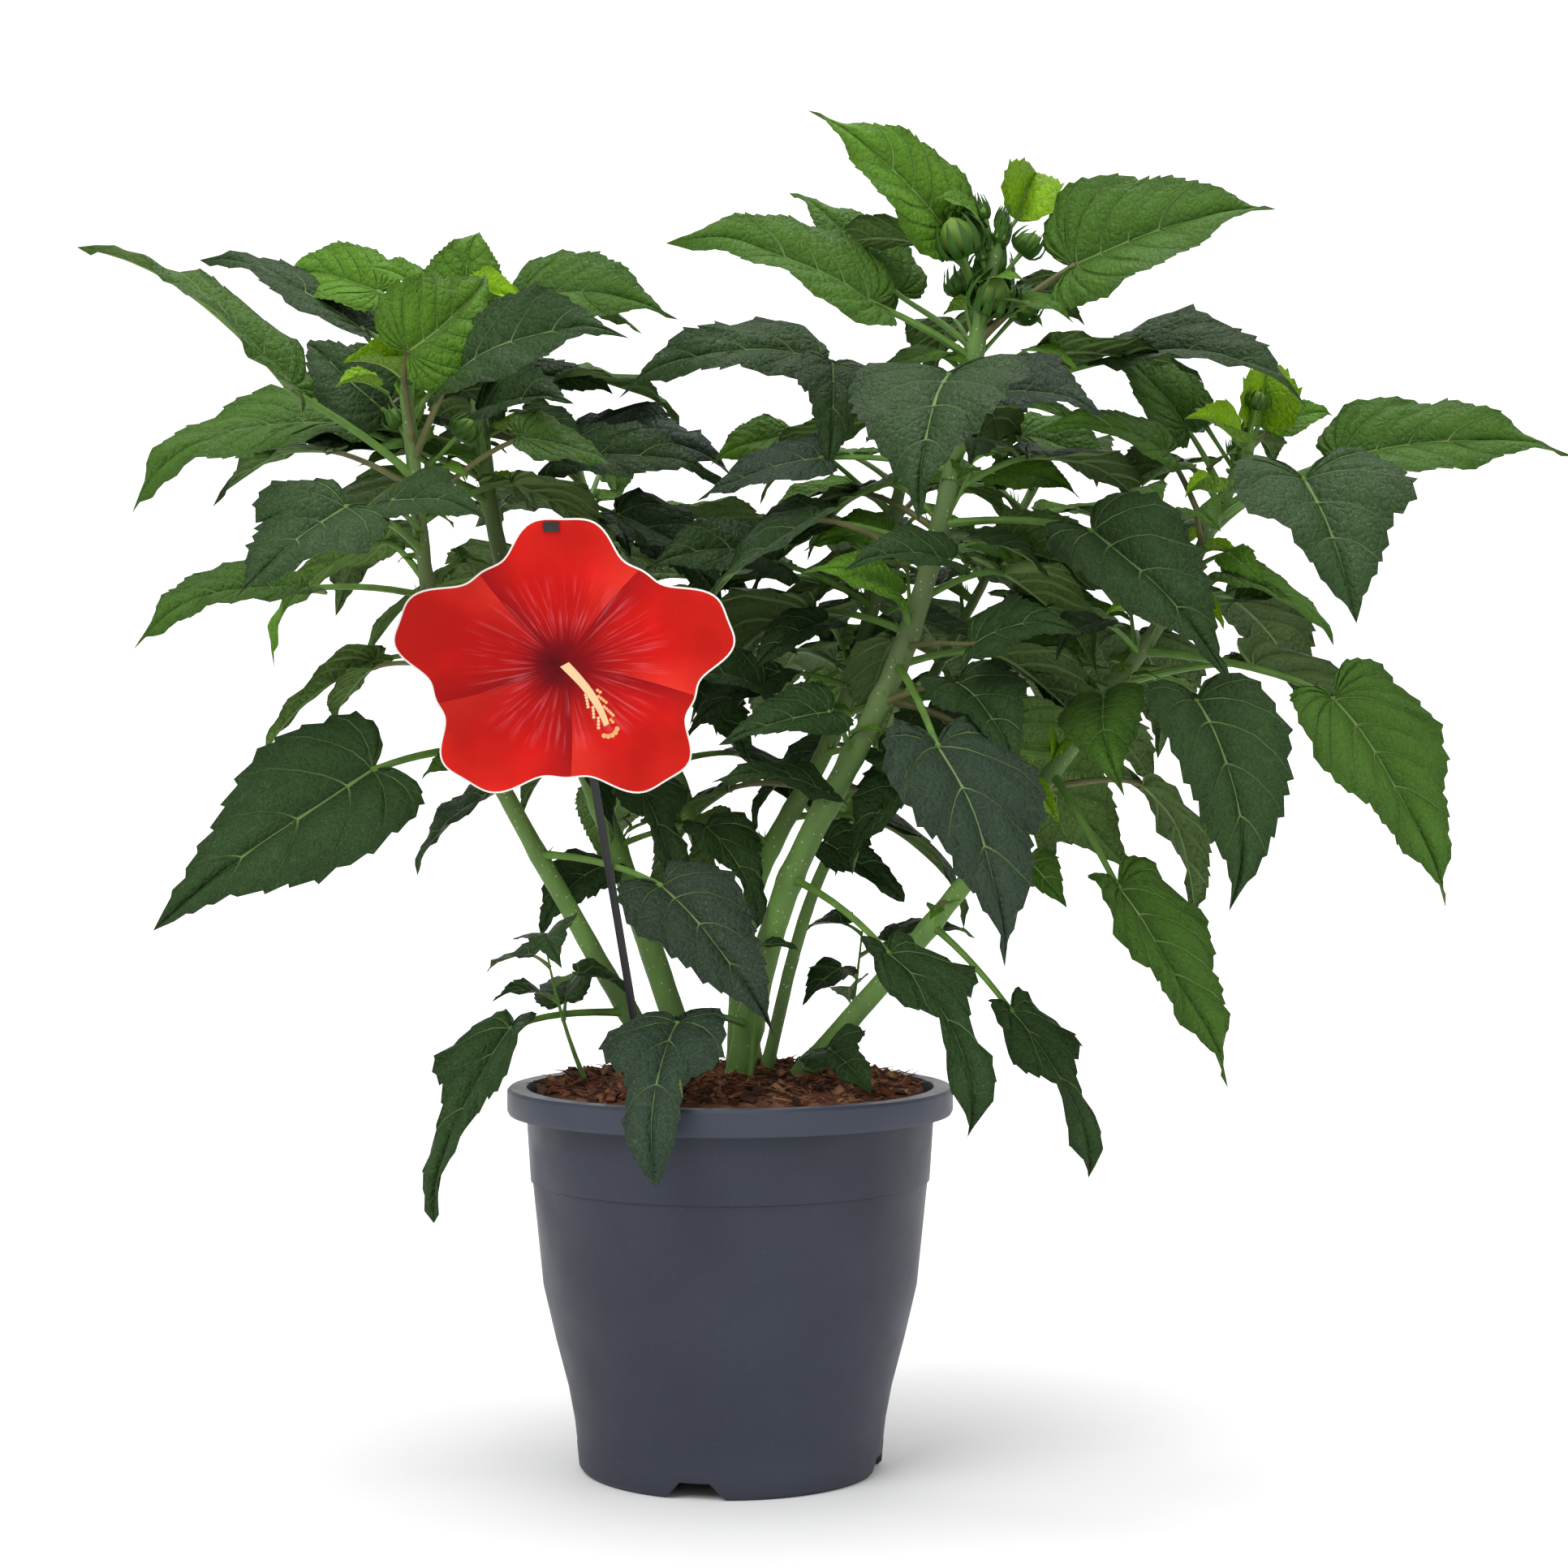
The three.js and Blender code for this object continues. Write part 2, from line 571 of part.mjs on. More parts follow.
// Small leaves along a twig, round it by the golden angle.
function twigLeaves(count, length, draw) {
  const leaves = [];
  const start = 360 * draw();
  for (let i = 0; i < count; i++) {
    const heading = start + 137.5 * i;
    const long = length * (0.7 + 0.5 * draw());
    const blade = [heading, -30 + 40 * draw(), long, 0.64 * long];
    const at = mix(0.5, 1, (i + 1) / count) - 0.02;
    leaves.push({ at, stalk: [heading, 25, 0.4 * long], blade, face: 20 });
  }
  return leaves;
}

// A twig's route, slightly bowed.
function twigRoute(foot, heading, rise, long) {
  const tip = foot.clone().addScaledVector(direction(heading, rise), long);
  const bow = foot.clone().lerp(tip, 0.5).addScaledVector(direction(heading, rise - 90), 0.08 * long);
  return new THREE.QuadraticBezierCurve3(foot, bow, tip);
}

// A bud on its stalk: an egg as wide as given, rooted in the middle of the stem.
function budBody(stem, at, heading, rise, stalkLength, width) {
  const stalk = [[0, 0], [BUD_STALK, 0], [BUD_STALK, stalkLength]];
  const egg = [[0.5, 0.35], [0.42, 0.8], [0, 1.2]].map(([half, high]) => [half * width, stalkLength + high * width]);
  const profile = [...stalk, ...egg].map(([half, high]) => new THREE.Vector2(half, high));
  const frame = aimed(heading, rise, 0).setPosition(stem.getPointAt(at));
  return solid(new THREE.LatheGeometry(profile, 5).applyMatrix4(frame));
}

// ---------- the plant ----------

const SWINGS = [0, 6, -6, 12, -12, 20, -20, 30, -30];
const TOUCH = 1e-3;
const placed = [];

function overlap(a, b) {
  const apart = a.min.some((low, k) => low > b.max[k]) || b.min.some((low, k) => low > a.max[k]);
  return !apart;
}

function place(owner, body) {
  placed.push({ owner, body, box: body.boundingBox() });
}

// Whether a solid would touch one of another owner's.
function touches(owner, body) {
  const box = body.boundingBox();
  const near = placed.filter((other) => other.owner !== owner && overlap(box, other.box));
  return near.some((other) => body.intersect(other.body).volume() > TOUCH);
}

// Places the first turn of a piece that touches nothing. A piece that always would is skipped.
function placeFree(owner, make, swings = SWINGS) {
  for (const swing of swings) {
    const body = make(swing);
    if (!touches(owner, body)) {
      place(owner, body);
      return;
    }
  }
}

const soilBody = makeSoil();
const soilCut = soilBody.translate([0, 0, GAP]);
place("soil", soilBody);
place("pot", makePot());
place("label_card", makeCard());
place("label_stake", makeStake(soilCut));

const stems = Object.entries(STEMS).map(([name, { route, radius, bare }]) => {
  const whole = new THREE.CatmullRomCurve3(route.map(vector), false, "catmullrom", 0.5);
  const [foot, tip] = radius;
  const gap = GAP / whole.getLength();
  const bareTip = mix(foot, tip, bare);
  const bough = new Stretch(whole, 0, bare);
  place(`stem_${name}`, limb(bough, foot, bareTip, BOUGH_SIDES, BOUGH_STEPS).subtract(soilCut));
  place(`crown_${name}`, limb(new Stretch(whole, bare + gap, 1), bareTip, tip, 6, 4));
  const clear = limb(bough, foot + GAP, bareTip + GAP, BOUGH_SIDES, BOUGH_STEPS);
  return { name, whole, bare, clear };
});

for (const { name, whole, bare, clear } of stems) {
  LEAVES[name].forEach((leaf, i) => {
    if (leaf.at > bare) {
      placeFree(`crown_${name}`, (swing) => leafBody(whole, leaf, 1, swing));
    } else {
      const cut = (swing) => fuse([leafBody(whole, leaf, 1, swing).subtract(clear)]);
      placeFree(`leaf_${name}_${i + 1}`, cut);
    }
  });
}

for (const { name, whole } of stems) {
  if (!BUDS[name]) continue;
  const [count, start, width, seed] = BUDS[name];
  const draw = seeded(seed);
  for (let i = 0; i < count; i++) {
    const at = mix(start, 0.99, (i + 0.5) / count);
    const size = width * (0.75 + 0.5 * draw());
    const [heading, rise, stalkLength] = [137.5 * i + 40 * draw(), 45 + 30 * draw(), 16 + 20 * draw()];
    placeFree(`crown_${name}`, (swing) => budBody(whole, at, heading + swing, rise, stalkLength, size));
  }
}

for (const { name, whole, bare } of stems) {
  const [count, seed] = TWIGS[name];
  const draw = seeded(seed);
  for (let i = 0; i < count; i++) {
    const foot = whole.getPointAt(mix(bare + 0.05, 0.85, (i + 0.5) / count));
    const twig = twigRoute(foot, 360 * draw(), 50 + 20 * draw(), TWIG.long * (0.7 + 0.6 * draw()));
    const parts = [limb(twig, TWIG.radius, 0.7 * TWIG.radius, 3, 2)];
    twigLeaves(TWIG.leaves, TWIG.leaf, draw).forEach((leaf) => {
      parts.push(leafBody(twig, leaf, THIN, 0));
    });
    placeFree(`crown_${name}`, () => fuse(parts), [0]);
  }
}

for (const { name, whole, bare } of stems) {
  farLeaves(bare, FAR_LEAVES[name]).forEach((leaf) => {
    placeFree(`crown_${name}`, (swing) => leafBody(whole, leaf, 1, swing));
  });
}

for (const [name, shoot] of Object.entries(SHOOTS)) {
  const draw = seeded(shoot.seed);
  const twig = twigRoute(vector(shoot.foot), ...shoot.aim, shoot.long);
  placeFree(name, () => limb(twig, SHOOT_RADIUS, 0.6 * SHOOT_RADIUS, 4, 4).subtract(soilCut), [0]);
  twigLeaves(shoot.leaves, shoot.leaf, draw).forEach((leaf) => {
    placeFree(name, (swing) => leafBody(twig, leaf, THIN, swing));
  });
}

// ---------- one mesh for each owner ----------

function finishOf(owner) {
  if (owner.startsWith("stem_")) return FINISH.bark;
  return FINISH[owner] ?? FINISH.leaf;
}

const group = new THREE.Group();
for (const [owner, pieces] of Map.groupBy(placed, (piece) => piece.owner)) {
  const body = pieces.length > 1 ? fuse(pieces.map((piece) => piece.body)) : pieces[0].body;
  group.add(meshOf(owner, body, finishOf(owner)));
}

export default group;
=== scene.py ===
"""A potted hibiscus shrub: pot, soil, picture label, stems, leaves and buds."""

import math

import bpy
import numpy as np
from bpy.props import FloatProperty, FloatVectorProperty, IntProperty, PointerProperty
from bpy.types import Operator, Panel, PropertyGroup
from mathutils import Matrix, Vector


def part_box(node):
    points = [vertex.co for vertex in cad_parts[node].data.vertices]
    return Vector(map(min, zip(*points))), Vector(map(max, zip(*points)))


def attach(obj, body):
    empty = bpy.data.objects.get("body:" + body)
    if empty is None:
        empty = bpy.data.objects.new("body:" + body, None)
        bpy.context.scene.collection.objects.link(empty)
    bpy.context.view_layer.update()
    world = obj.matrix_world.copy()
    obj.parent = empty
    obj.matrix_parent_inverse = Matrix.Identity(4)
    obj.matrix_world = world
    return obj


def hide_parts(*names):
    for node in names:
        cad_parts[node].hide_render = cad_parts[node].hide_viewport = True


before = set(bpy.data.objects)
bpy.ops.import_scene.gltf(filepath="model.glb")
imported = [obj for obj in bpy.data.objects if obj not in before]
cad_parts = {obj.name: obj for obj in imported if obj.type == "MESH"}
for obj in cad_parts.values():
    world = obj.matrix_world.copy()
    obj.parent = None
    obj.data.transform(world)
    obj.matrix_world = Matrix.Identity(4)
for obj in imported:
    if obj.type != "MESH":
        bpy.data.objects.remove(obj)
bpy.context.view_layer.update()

bl_info = {
    "name": "Potted hibiscus",
    "version": (1, 0, 0),
    "blender": (4, 5, 0),
    "location": "View3D > Sidebar > Hibiscus",
    "description": "Builds a hibiscus shrub in its nursery pot, piece by piece",
    "category": "Object",
}

MM = 0.001

# ---------- sizes of the frame's solids, in mm ----------

POT = {
    "height": 204.5,
    "rim_radius": 120,
    "rim_band": 14,
    "neck_radius": 109.7,
    "foot_radius": 81.5,
    "wall": 2.5,
    "floor_height": 13.5,
    "pad_radius": 22,
}
POT_SIDE = ((83.7, 26), (87.2, 44.6), (93.9, 70), (100.6, 98.5), (106.2, 153))
NOTCH = {"count": 4, "turn": -102, "bottom": 34, "top": 16, "height": 9}
DRAIN = {"count": 6, "radius": 5, "ring": 50}
SOIL = {"edge": 199, "middle": 204, "rise": 3.5, "heap": 7}
CARD = {"width": 182, "height": 154, "thick": 0.8, "petals": 5, "lobe": 0.14, "ripple": 0.025, "aside": -5}
SLOT = (7, 4)
STAKE = {"foot": (-42, -24, 190), "width": 4.2, "thick": 1.8, "long": 318, "lean": 10.5, "tilt": 8.7}
GAP = 0.3

# Each stem: its route from soil to tip, its radius at both ends, and the share of it below the crown.
STEMS = {
    "left_front": (((-20, -4, 190), (-72, -6, 274), (-150, -22, 430), (-168, -62, 576)), (6, 3.2), 0.68),
    "left_back": (((-14, 12, 190), (-70, 16, 352), (-126, 28, 490), (-144, 36, 625)), (7.5, 3.4), 0.7),
    "centre_back": (((2, 20, 190), (12, 30, 307), (62, 42, 410), (104, 58, 575)), (6.5, 3.2), 0.5),
    "main": (((0, -6, 190), (30, -18, 310), (98, -32, 455), (141, -40, 652)), (8, 3.8), 0.47),
    "right": (((20, -8, 190), (114, -18, 300), (223, -24, 444), (280, -14, 552)), (6.4, 3), 0.6),
    "right_back": (((14, 17, 190), (49, 45, 316), (120, 85, 440), (185, 120, 560)), (3.8, 2.4), 0.55),
    "left_far": (((16, 46, 190), (-6, 62, 295), (-50, 92, 420), (-95, 130, 560)), (6, 3), 0.6),
}

DEEP, DARK, MID, FRESH, LIME = range(5)
TONES = ("deep", "dark", "mid", "fresh", "lime")

# Leaves that give each stem its outline, from the foot up, with angles in degrees and lengths in mm:
# share of the stem; stalk's heading, rise and length; blade's heading, rise, length and width;
# how far the upper side is turned from the sky towards the front; tone.
LEAVES = {
    "left_front": (
        (0.15, (-150, -5, 70), (-135, -60, 110, 42), 10, DARK),
        (0.38, (-45, -10, 90), (-40, -45, 105, 58), 40, DEEP),
        (0.51, (-90, 0, 30), (-140, -15, 30, 20), 30, MID),
        (0.53, (-140, -10, 70), (-160, -35, 140, 82), 60, DARK),
        (0.73, (-135, 0, 85), (-155, -20, 90, 48), 25, MID),
        (0.75, (145, 35, 40), (-155, -45, 95, 50), -30, FRESH),
        (0.79, (-110, 10, 85), (-130, -35, 85, 62), 35, DARK),
        (0.81, (-95, 10, 65), (-25, -10, 55, 40), 40, DARK),
        (0.84, (-20, 30, 70), (30, -15, 60, 44), 45, MID),
        (0.88, (-145, 30, 85), (-170, 35, 125, 66), 22, MID),
        (0.9, (-55, 40, 65), (-20, 10, 95, 64), 50, DARK),
        (0.92, (-85, 40, 65), (50, 40, 75, 62), 75, FRESH),
        (0.94, (140, 30, 25), (155, 40, 65, 48), 50, DARK),
        (0.97, (-90, 25, 25), (-140, 10, 35, 22), 40, LIME),
    ),
    "left_back": (
        (0.33, (-25, 10, 60), (-20, -60, 62, 44), 20, DARK),
        (0.38, (-60, 20, 45), (-30, -65, 65, 40), 20, DARK),
        (0.44, (170, -20, 60), (160, -45, 60, 40), 30, DARK),
        (0.57, (-175, 0, 90), (-170, -40, 80, 34), -20, MID),
        (0.77, (-155, 25, 95), (-175, -20, 125, 72), 30, MID),
        (0.8, (160, 20, 70), (160, 0, 105, 66), 35, DARK),
        (0.82, (-80, 25, 50), (-35, 0, 70, 48), 45, DARK),
        (0.85, (95, 50, 45), (0, 0, 75, 48), 35, DARK),
        (0.9, (160, 30, 85), (170, 25, 105, 62), 22, DARK),
        (0.91, (-30, 60, 55), (-25, -10, 100, 62), 45, MID),
        (0.92, (155, 40, 85), (155, 10, 75, 46), 50, FRESH),
        (0.97, (-140, 40, 30), (-145, 20, 50, 34), 45, FRESH),
        (0.98, (85, 70, 15), (40, 20, 40, 28), 30, FRESH),
        (0.99, (-100, 35, 15), (60, 75, 48, 46), 25, FRESH),
        (0.99, (-85, 10, 30), (-40, 0, 45, 26), 40, LIME),
    ),
    "centre_back": (
        (0.36, (-145, 25, 30), (-155, -65, 55, 44), -50, MID),
        (0.42, (75, 10, 60), (80, -40, 80, 52), 10, MID),
        (0.53, (-135, 25, 60), (-145, 5, 55, 40), 45, DARK),
        (0.62, (-110, 30, 55), (-145, -30, 60, 30), 30, DARK),
        (0.72, (-135, 15, 80), (-155, -5, 80, 48), 45, DARK),
        (0.75, (-85, 25, 60), (-165, -10, 50, 34), 40, FRESH),
        (0.85, (-165, 35, 75), (-165, -20, 48, 32), 45, FRESH),
        (0.92, (-140, 40, 85), (-165, -10, 115, 56), 40, DARK),
        (0.95, (-125, 25, 85), (-95, -60, 72, 40), 15, DARK),
    ),
    "main": (
        (0.1, (-115, 5, 85), (-100, -55, 92, 56), 0, DEEP),
        (0.27, (-60, -20, 105), (-45, -55, 105, 44), 10, DARK),
        (0.36, (-90, 10, 35), (-160, 5, 65, 34), 30, DARK),
        (0.42, (-110, 30, 45), (-155, -15, 65, 42), 40, DARK),
        (0.49, (40, -15, 80), (10, -40, 120, 84), -50, MID),
        (0.53, (-80, -25, 105), (-50, -65, 118, 80), 10, DEEP),
        (0.55, (-55, 0, 60), (-30, 5, 60, 38), 50, DARK),
        (0.57, (-105, 30, 35), (-160, 10, 55, 36), 45, FRESH),
        (0.65, (-75, -5, 30), (-160, -5, 60, 38), 40, DARK),
        (0.69, (-25, -5, 85), (-35, -45, 112, 66), 45, DARK),
        (0.8, (-70, 10, 55), (-25, -15, 55, 46), 45, DEEP),
        (0.81, (10, 20, 95), (-25, -15, 105, 66), 35, DARK),
        (0.83, (-100, 0, 80), (-105, -45, 108, 88), 0, DARK),
        (0.87, (-160, 25, 65), (-165, 15, 112, 66), 45, MID),
        (0.88, (140, 35, 65), (170, 45, 82, 54), 45, MID),
        (0.89, (-20, 35, 65), (-15, 15, 108, 80), 60, MID),
        (0.92, (-170, 65, 50), (-165, 38, 94, 58), 68, FRESH),
        (0.99, (40, 50, 25), (60, 50, 38, 32), 40, LIME),
        (0.99, (-160, 55, 18), (-150, 20, 30, 22), 40, FRESH),
    ),
    "right": (
        (0.08, (-70, 20, 30), (-60, -25, 44, 34), 35, DARK),
        (0.3, (-50, -35, 75), (-25, -60, 95, 36), 30, DARK),
        (0.42, (-55, -15, 30), (-50, -40, 36, 24), 40, MID),
        (0.53, (-60, -45, 85), (-20, -60, 115, 62), 25, MID),
        (0.63, (-60, 0, 80), (-65, -72, 112, 68), 10, DARK),
        (0.71, (-20, -15, 105), (-10, -62, 122, 74), 55, MID),
        (0.76, (-20, 10, 40), (-40, 0, 32, 22), 40, MID),
        (0.82, (-35, 20, 25), (-50, -35, 30, 20), 40, FRESH),
        (0.87, (-165, 60, 50), (-170, 10, 72, 42), 40, MID),
        (0.89, (-5, 25, 75), (-8, 0, 120, 62), 50, MID),
        (0.9, (-70, 5, 90), (-75, -52, 95, 84), 10, DARK),
        (0.92, (130, 55, 50), (165, 45, 75, 46), 45, MID),
        (0.97, (-110, 20, 25), (-150, 15, 34, 22), 45, LIME),
        (0.98, (15, 40, 20), (25, 15, 42, 26), 45, FRESH),
        (0.99, (35, 60, 15), (65, 65, 36, 32), 30, LIME),
    ),
    "right_back": (
        (0.36, (-100, 5, 25), (-20, -35, 55, 34), 40, DARK),
        (0.46, (20, 10, 55), (15, -45, 75, 50), 20, MID),
        (0.66, (-40, 10, 50), (0, -30, 58, 50), 40, MID),
        (0.86, (-95, -10, 50), (0, -20, 85, 58), -45, MID),
        (0.94, (-110, 0, 75), (-20, -15, 50, 34), 40, FRESH),
        (0.99, (-110, 5, 60), (-10, -30, 68, 46), 35, MID),
    ),
    "left_far": (
        (0.47, (120, 0, 60), (110, -45, 80, 54), 0, MID),
        (0.86, (-60, 0, 75), (-30, -45, 62, 44), 30, DARK),
        (0.98, (-85, 5, 55), (-25, -10, 105, 54), 40, DEEP),
    ),
}

# Rules for the rest of each crown: far leaves (count, seed), buds (count, start, width, seed), twigs (count, seed).
FAR_LEAVES = {
    "left_front": (6, 21),
    "left_back": (9, 22),
    "centre_back": (8, 23),
    "main": (12, 24),
    "right": (8, 25),
    "right_back": (8, 26),
    "left_far": (9, 27),
}
BUDS = {
    "left_front": (4, 0.86, 12, 31),
    "left_back": (4, 0.9, 10, 32),
    "main": (9, 0.86, 15, 34),
    "right": (4, 0.93, 9, 35),
}
TWIGS = {
    "left_front": (1, 51),
    "left_back": (1, 52),
    "centre_back": (1, 53),
    "main": (3, 54),
    "right": (2, 55),
    "right_back": (1, 56),
    "left_far": (1, 57),
}
TWIG = {"long": 46, "radius": 1.5, "leaves": 2, "leaf": 30}
SHOOTS = {
    "shoot_left": {"foot": (-68, -22, 190), "aim": (-148, 70), "long": 98, "leaves": 5, "leaf": 44, "seed": 41},
    "shoot_middle": {"foot": (9, -38, 190), "aim": (60, 86), "long": 104, "leaves": 4, "leaf": 26, "seed": 42},
    "shoot_back": {"foot": (56, 44, 190), "aim": (60, 70), "long": 100, "leaves": 4, "leaf": 46, "seed": 43},
}
SHOOT_RADIUS = 1.8
INNER_LEAVES = 18
BUD_FULLNESS = 1.22
THIN = 0.7
SWINGS = (0, 6, -6, 12, -12, 20, -20, 30, -30)

# Half a leaf's outline from the notch at its stalk round to its tip, in shares of its width and length.
OVATE = ((0, -0.012), (0.1, -0.085), (0.25, -0.11), (0.4, -0.045), (0.485, 0.1), (0.5, 0.24), (0.43, 0.42),
         (0.29, 0.6), (0.135, 0.77), (0.035, 0.91), (0, 1))
LOBED = ((0, -0.012), (0.12, -0.08), (0.27, -0.1), (0.42, -0.02), (0.52, 0.12), (0.55, 0.25), (0.47, 0.34),
         (0.31, 0.4), (0.255, 0.51), (0.275, 0.63), (0.22, 0.77), (0.09, 0.92), (0, 1))
SHOULDERED = ((0, -0.012), (0.1, -0.085), (0.25, -0.11), (0.41, -0.03), (0.5, 0.12), (0.53, 0.28), (0.49, 0.41),
              (0.35, 0.47), (0.28, 0.6), (0.17, 0.75), (0.05, 0.89), (0, 1))


def paint(red, green, blue):
    """A colour given in display values from 0 to 255, as the linear values that a shader takes."""
    def linear(value):
        share = value / 255
        return share / 12.92 if share <= 0.04045 else ((share + 0.055) / 1.055) ** 2.4
    return (linear(red), linear(green), linear(blue))


# ---------- settings ----------

def length_setting(name, description, default):
    return FloatProperty(name=name, description=description, default=default, min=0, unit="LENGTH")


def colour_setting(name, description, default):
    return FloatVectorProperty(
        name=name, description=description, default=default, min=0, max=1, size=3, subtype="COLOR"
    )


class PotSettings(PropertyGroup):
    """The pot and its soil."""
    sides: IntProperty(name="Sides", description="Faces round the pot", default=128, min=24)
    edge: length_setting("Edge radius", "Rounding of the moulded edges", 0.0004)
    plastic: colour_setting("Plastic", "Colour of the pot", paint(47, 51, 63))
    lump: length_setting("Lumps", "Height of the soil's lumps", 0.007)
    fibres: IntProperty(name="Fibres", description="Loose coir fibres on the soil", default=1500, min=0)
    chips: IntProperty(name="Chips", description="Bark chips on the soil", default=750, min=0)
    earth: colour_setting("Soil", "Colour of the soil", paint(98, 64, 48))


class LabelSettings(PropertyGroup):
    """The picture label."""
    points: IntProperty(name="Outline points", description="Points round the card", default=200, min=60)
    border: length_setting("Border", "Width of the card's white edge", 0.0009)
    petal: colour_setting("Petals", "Main colour of the printed flower", paint(208, 20, 16))
    throat: colour_setting("Throat", "Colour of the flower's middle", paint(96, 6, 18))
    stamen: colour_setting("Stamen", "Colour of the flower's column", paint(236, 196, 146))
    black: colour_setting("Stake", "Colour of the stake", paint(24, 25, 27))


class StemSettings(PropertyGroup):
    """Stems, stalks and twigs."""
    spacing: length_setting("Ring spacing", "Distance between the rings of a stem", 0.004)
    relief: length_setting("Bark relief", "Depth of the bark's unevenness", 0.0008)
    bark: colour_setting("Bark", "Colour of the young bark", paint(105, 145, 66))
    # Painted shade: the bark inside the crown is given a darker, greyer colour where the leaves shade it.
    old_bark: colour_setting("Middle bark", "Colour of the bark inside the crown", paint(95, 110, 70))
    new_bark: colour_setting("Top bark", "Colour of the newest bark", paint(100, 140, 62))
    stalk: colour_setting("Stalks", "Colour of the green leaf stalks", paint(92, 128, 54))
    red_stalk: colour_setting("Red stalks", "Colour of the flushed leaf stalks", paint(98, 98, 60))


class LeafSettings(PropertyGroup):
    """Leaves."""
    thickness: length_setting("Thickness", "Thickness of a leaf blade", 0.0005)
    droop: FloatProperty(name="Droop", description="How far a blade bends over its length",
                         default=math.radians(38), subtype="ANGLE")
    fold: FloatProperty(name="Fold", description="How far each half is raised from flat",
                        default=math.radians(14), subtype="ANGLE")
    groove: length_setting("Grooves", "Depth of the veins on the upper side", 0.0002)
    ridge: length_setting("Ridges", "Height of the veins on the underside", 0.0007)
    deep: colour_setting("Deep", "Upper side of the oldest leaves", paint(35, 50, 36))
    dark: colour_setting("Dark", "Upper side of the mature leaves", paint(36, 57, 26))
    mid: colour_setting("Mid", "Upper side of the middling leaves", paint(56, 87, 25))
    fresh: colour_setting("Fresh", "Upper side of the young leaves", paint(70, 107, 24))
    lime: colour_setting("Lime", "Upper side of the newest leaves", paint(112, 152, 16))
    under: colour_setting("Underside", "What the undersides are paled with", paint(116, 144, 82))
    vein: colour_setting("Veins", "What the veins are paled with", paint(154, 184, 114))


class BudSettings(PropertyGroup):
    """Flower buds."""
    bracts: IntProperty(name="Bracts", description="Narrow bracts round each bud", default=12, min=3)
    body: colour_setting("Calyx", "Colour of a bud's body", paint(106, 138, 54))
    bract: colour_setting("Bract", "Colour of the bracts", paint(48, 86, 22))
    flush: colour_setting("Flush", "Colour of the buds that show their petals", paint(176, 120, 96))


class StageSettings(PropertyGroup):
    """Camera, floor and light."""
    camera: FloatVectorProperty(name="Camera", description="Place of the camera", size=3,
                                default=(0.0289, -1.54, 0.367), subtype="TRANSLATION")
    lens: FloatProperty(name="Lens", description="Focal length on a 36 mm sensor", default=65.5, unit="CAMERA")
    floor: colour_setting("Floor", "Colour of the floor and backdrop", (0.9, 0.9, 0.9))


SETTINGS = {
    "hibiscus_pot": PotSettings,
    "hibiscus_label": LabelSettings,
    "hibiscus_stem": StemSettings,
    "hibiscus_leaf": LeafSettings,
    "hibiscus_bud": BudSettings,
    "hibiscus_stage": StageSettings,
}

# ---------- materials ----------

# Name of the point attribute that holds each leaf's random lightness and its painted shade along the veins.
LEAF_TONE_AND_SHADE = "light"


class Recipe:
    """One node material, built up step by step on the object's own coordinates."""

    def __init__(self, name):
        self.material = bpy.data.materials.new(name)
        self.material.use_nodes = True
        self.tree = self.material.node_tree
        self.shader = self.tree.nodes["Principled BSDF"]
        self.place = self.add("TexCoord").outputs["Object"]

    def add(self, kind, inputs=None, **settings):
        """A node with its settings, and its inputs as values or as links from other nodes' outputs."""
        node = self.tree.nodes.new("ShaderNode" + kind)
        for key, value in settings.items():
            setattr(node, key, value)
        for key, value in (inputs or {}).items():
            self.feed(node.inputs[key], value)
        return node

    def feed(self, socket, value):
        if isinstance(value, bpy.types.NodeSocket):
            self.tree.links.new(value, socket)
        else:
            socket.default_value = value

    def math(self, operation, *values):
        node = self.add("Math", operation=operation)
        for socket, value in zip(node.inputs, values):
            self.feed(socket, value)
        return node.outputs[0]

    def spread(self, value, low, high, to_low=0.0, to_high=1.0):
        """A value mapped from one range to another, and kept inside it."""
        inputs = {"Value": value, "From Min": low, "From Max": high, "To Min": to_low, "To Max": to_high}
        return self.add("MapRange", inputs).outputs["Result"]

    def noise(self, scale, detail=3.0, vector=None, **inputs):
        values = {"Vector": vector or self.place, "Scale": scale, "Detail": detail, **inputs}
        return self.add("TexNoise", values).outputs["Fac"]

    def cells(self, scale, feature="F1", vector=None):
        values = {"Vector": vector or self.place, "Scale": scale}
        return self.add("TexVoronoi", values, feature=feature).outputs["Distance"]

    def mix(self, share, first, second, blend="MIX"):
        """Two colours, mixed by a share."""
        node = self.add("Mix", data_type="RGBA", blend_type=blend)
        for socket, value in zip((node.inputs[0], node.inputs[6], node.inputs[7]), (share, first, second)):
            plain = not isinstance(value, (bpy.types.NodeSocket, float, int))
            self.feed(socket, (*value[:3], 1) if plain else value)
        return node.outputs[2]

    def ramp(self, value, stops):
        """A colour for a value: stops are (position, colour)."""
        node = self.add("ValToRGB", {"Fac": value})
        elements = node.color_ramp.elements
        while len(elements) < len(stops):
            elements.new(0.5)
        for element, (position, colour) in zip(elements, stops):
            element.position = position
            element.color = (*colour[:3], 1)
        return node.outputs["Color"]

    def grain(self, height, depth):
        """Raises the surface by a height from 0 to 1, times a depth in metres."""
        node = self.add("Bump", {"Height": height, "Distance": depth, "Strength": 1.0})
        previous = self.shader.inputs["Normal"]
        if previous.is_linked:
            self.feed(node.inputs["Normal"], previous.links[0].from_socket)
        self.feed(previous, node.outputs["Normal"])

    def finish(self, colour, roughness, specular=0.5):
        self.feed(self.shader.inputs["Base Color"], colour)
        self.feed(self.shader.inputs["Roughness"], roughness)
        self.shader.inputs["Specular IOR Level"].default_value = specular
        return self.material


def shade(colour, factor):
    """A colour made lighter or darker."""
    return tuple(min(1.0, factor * value) for value in colour[:3])


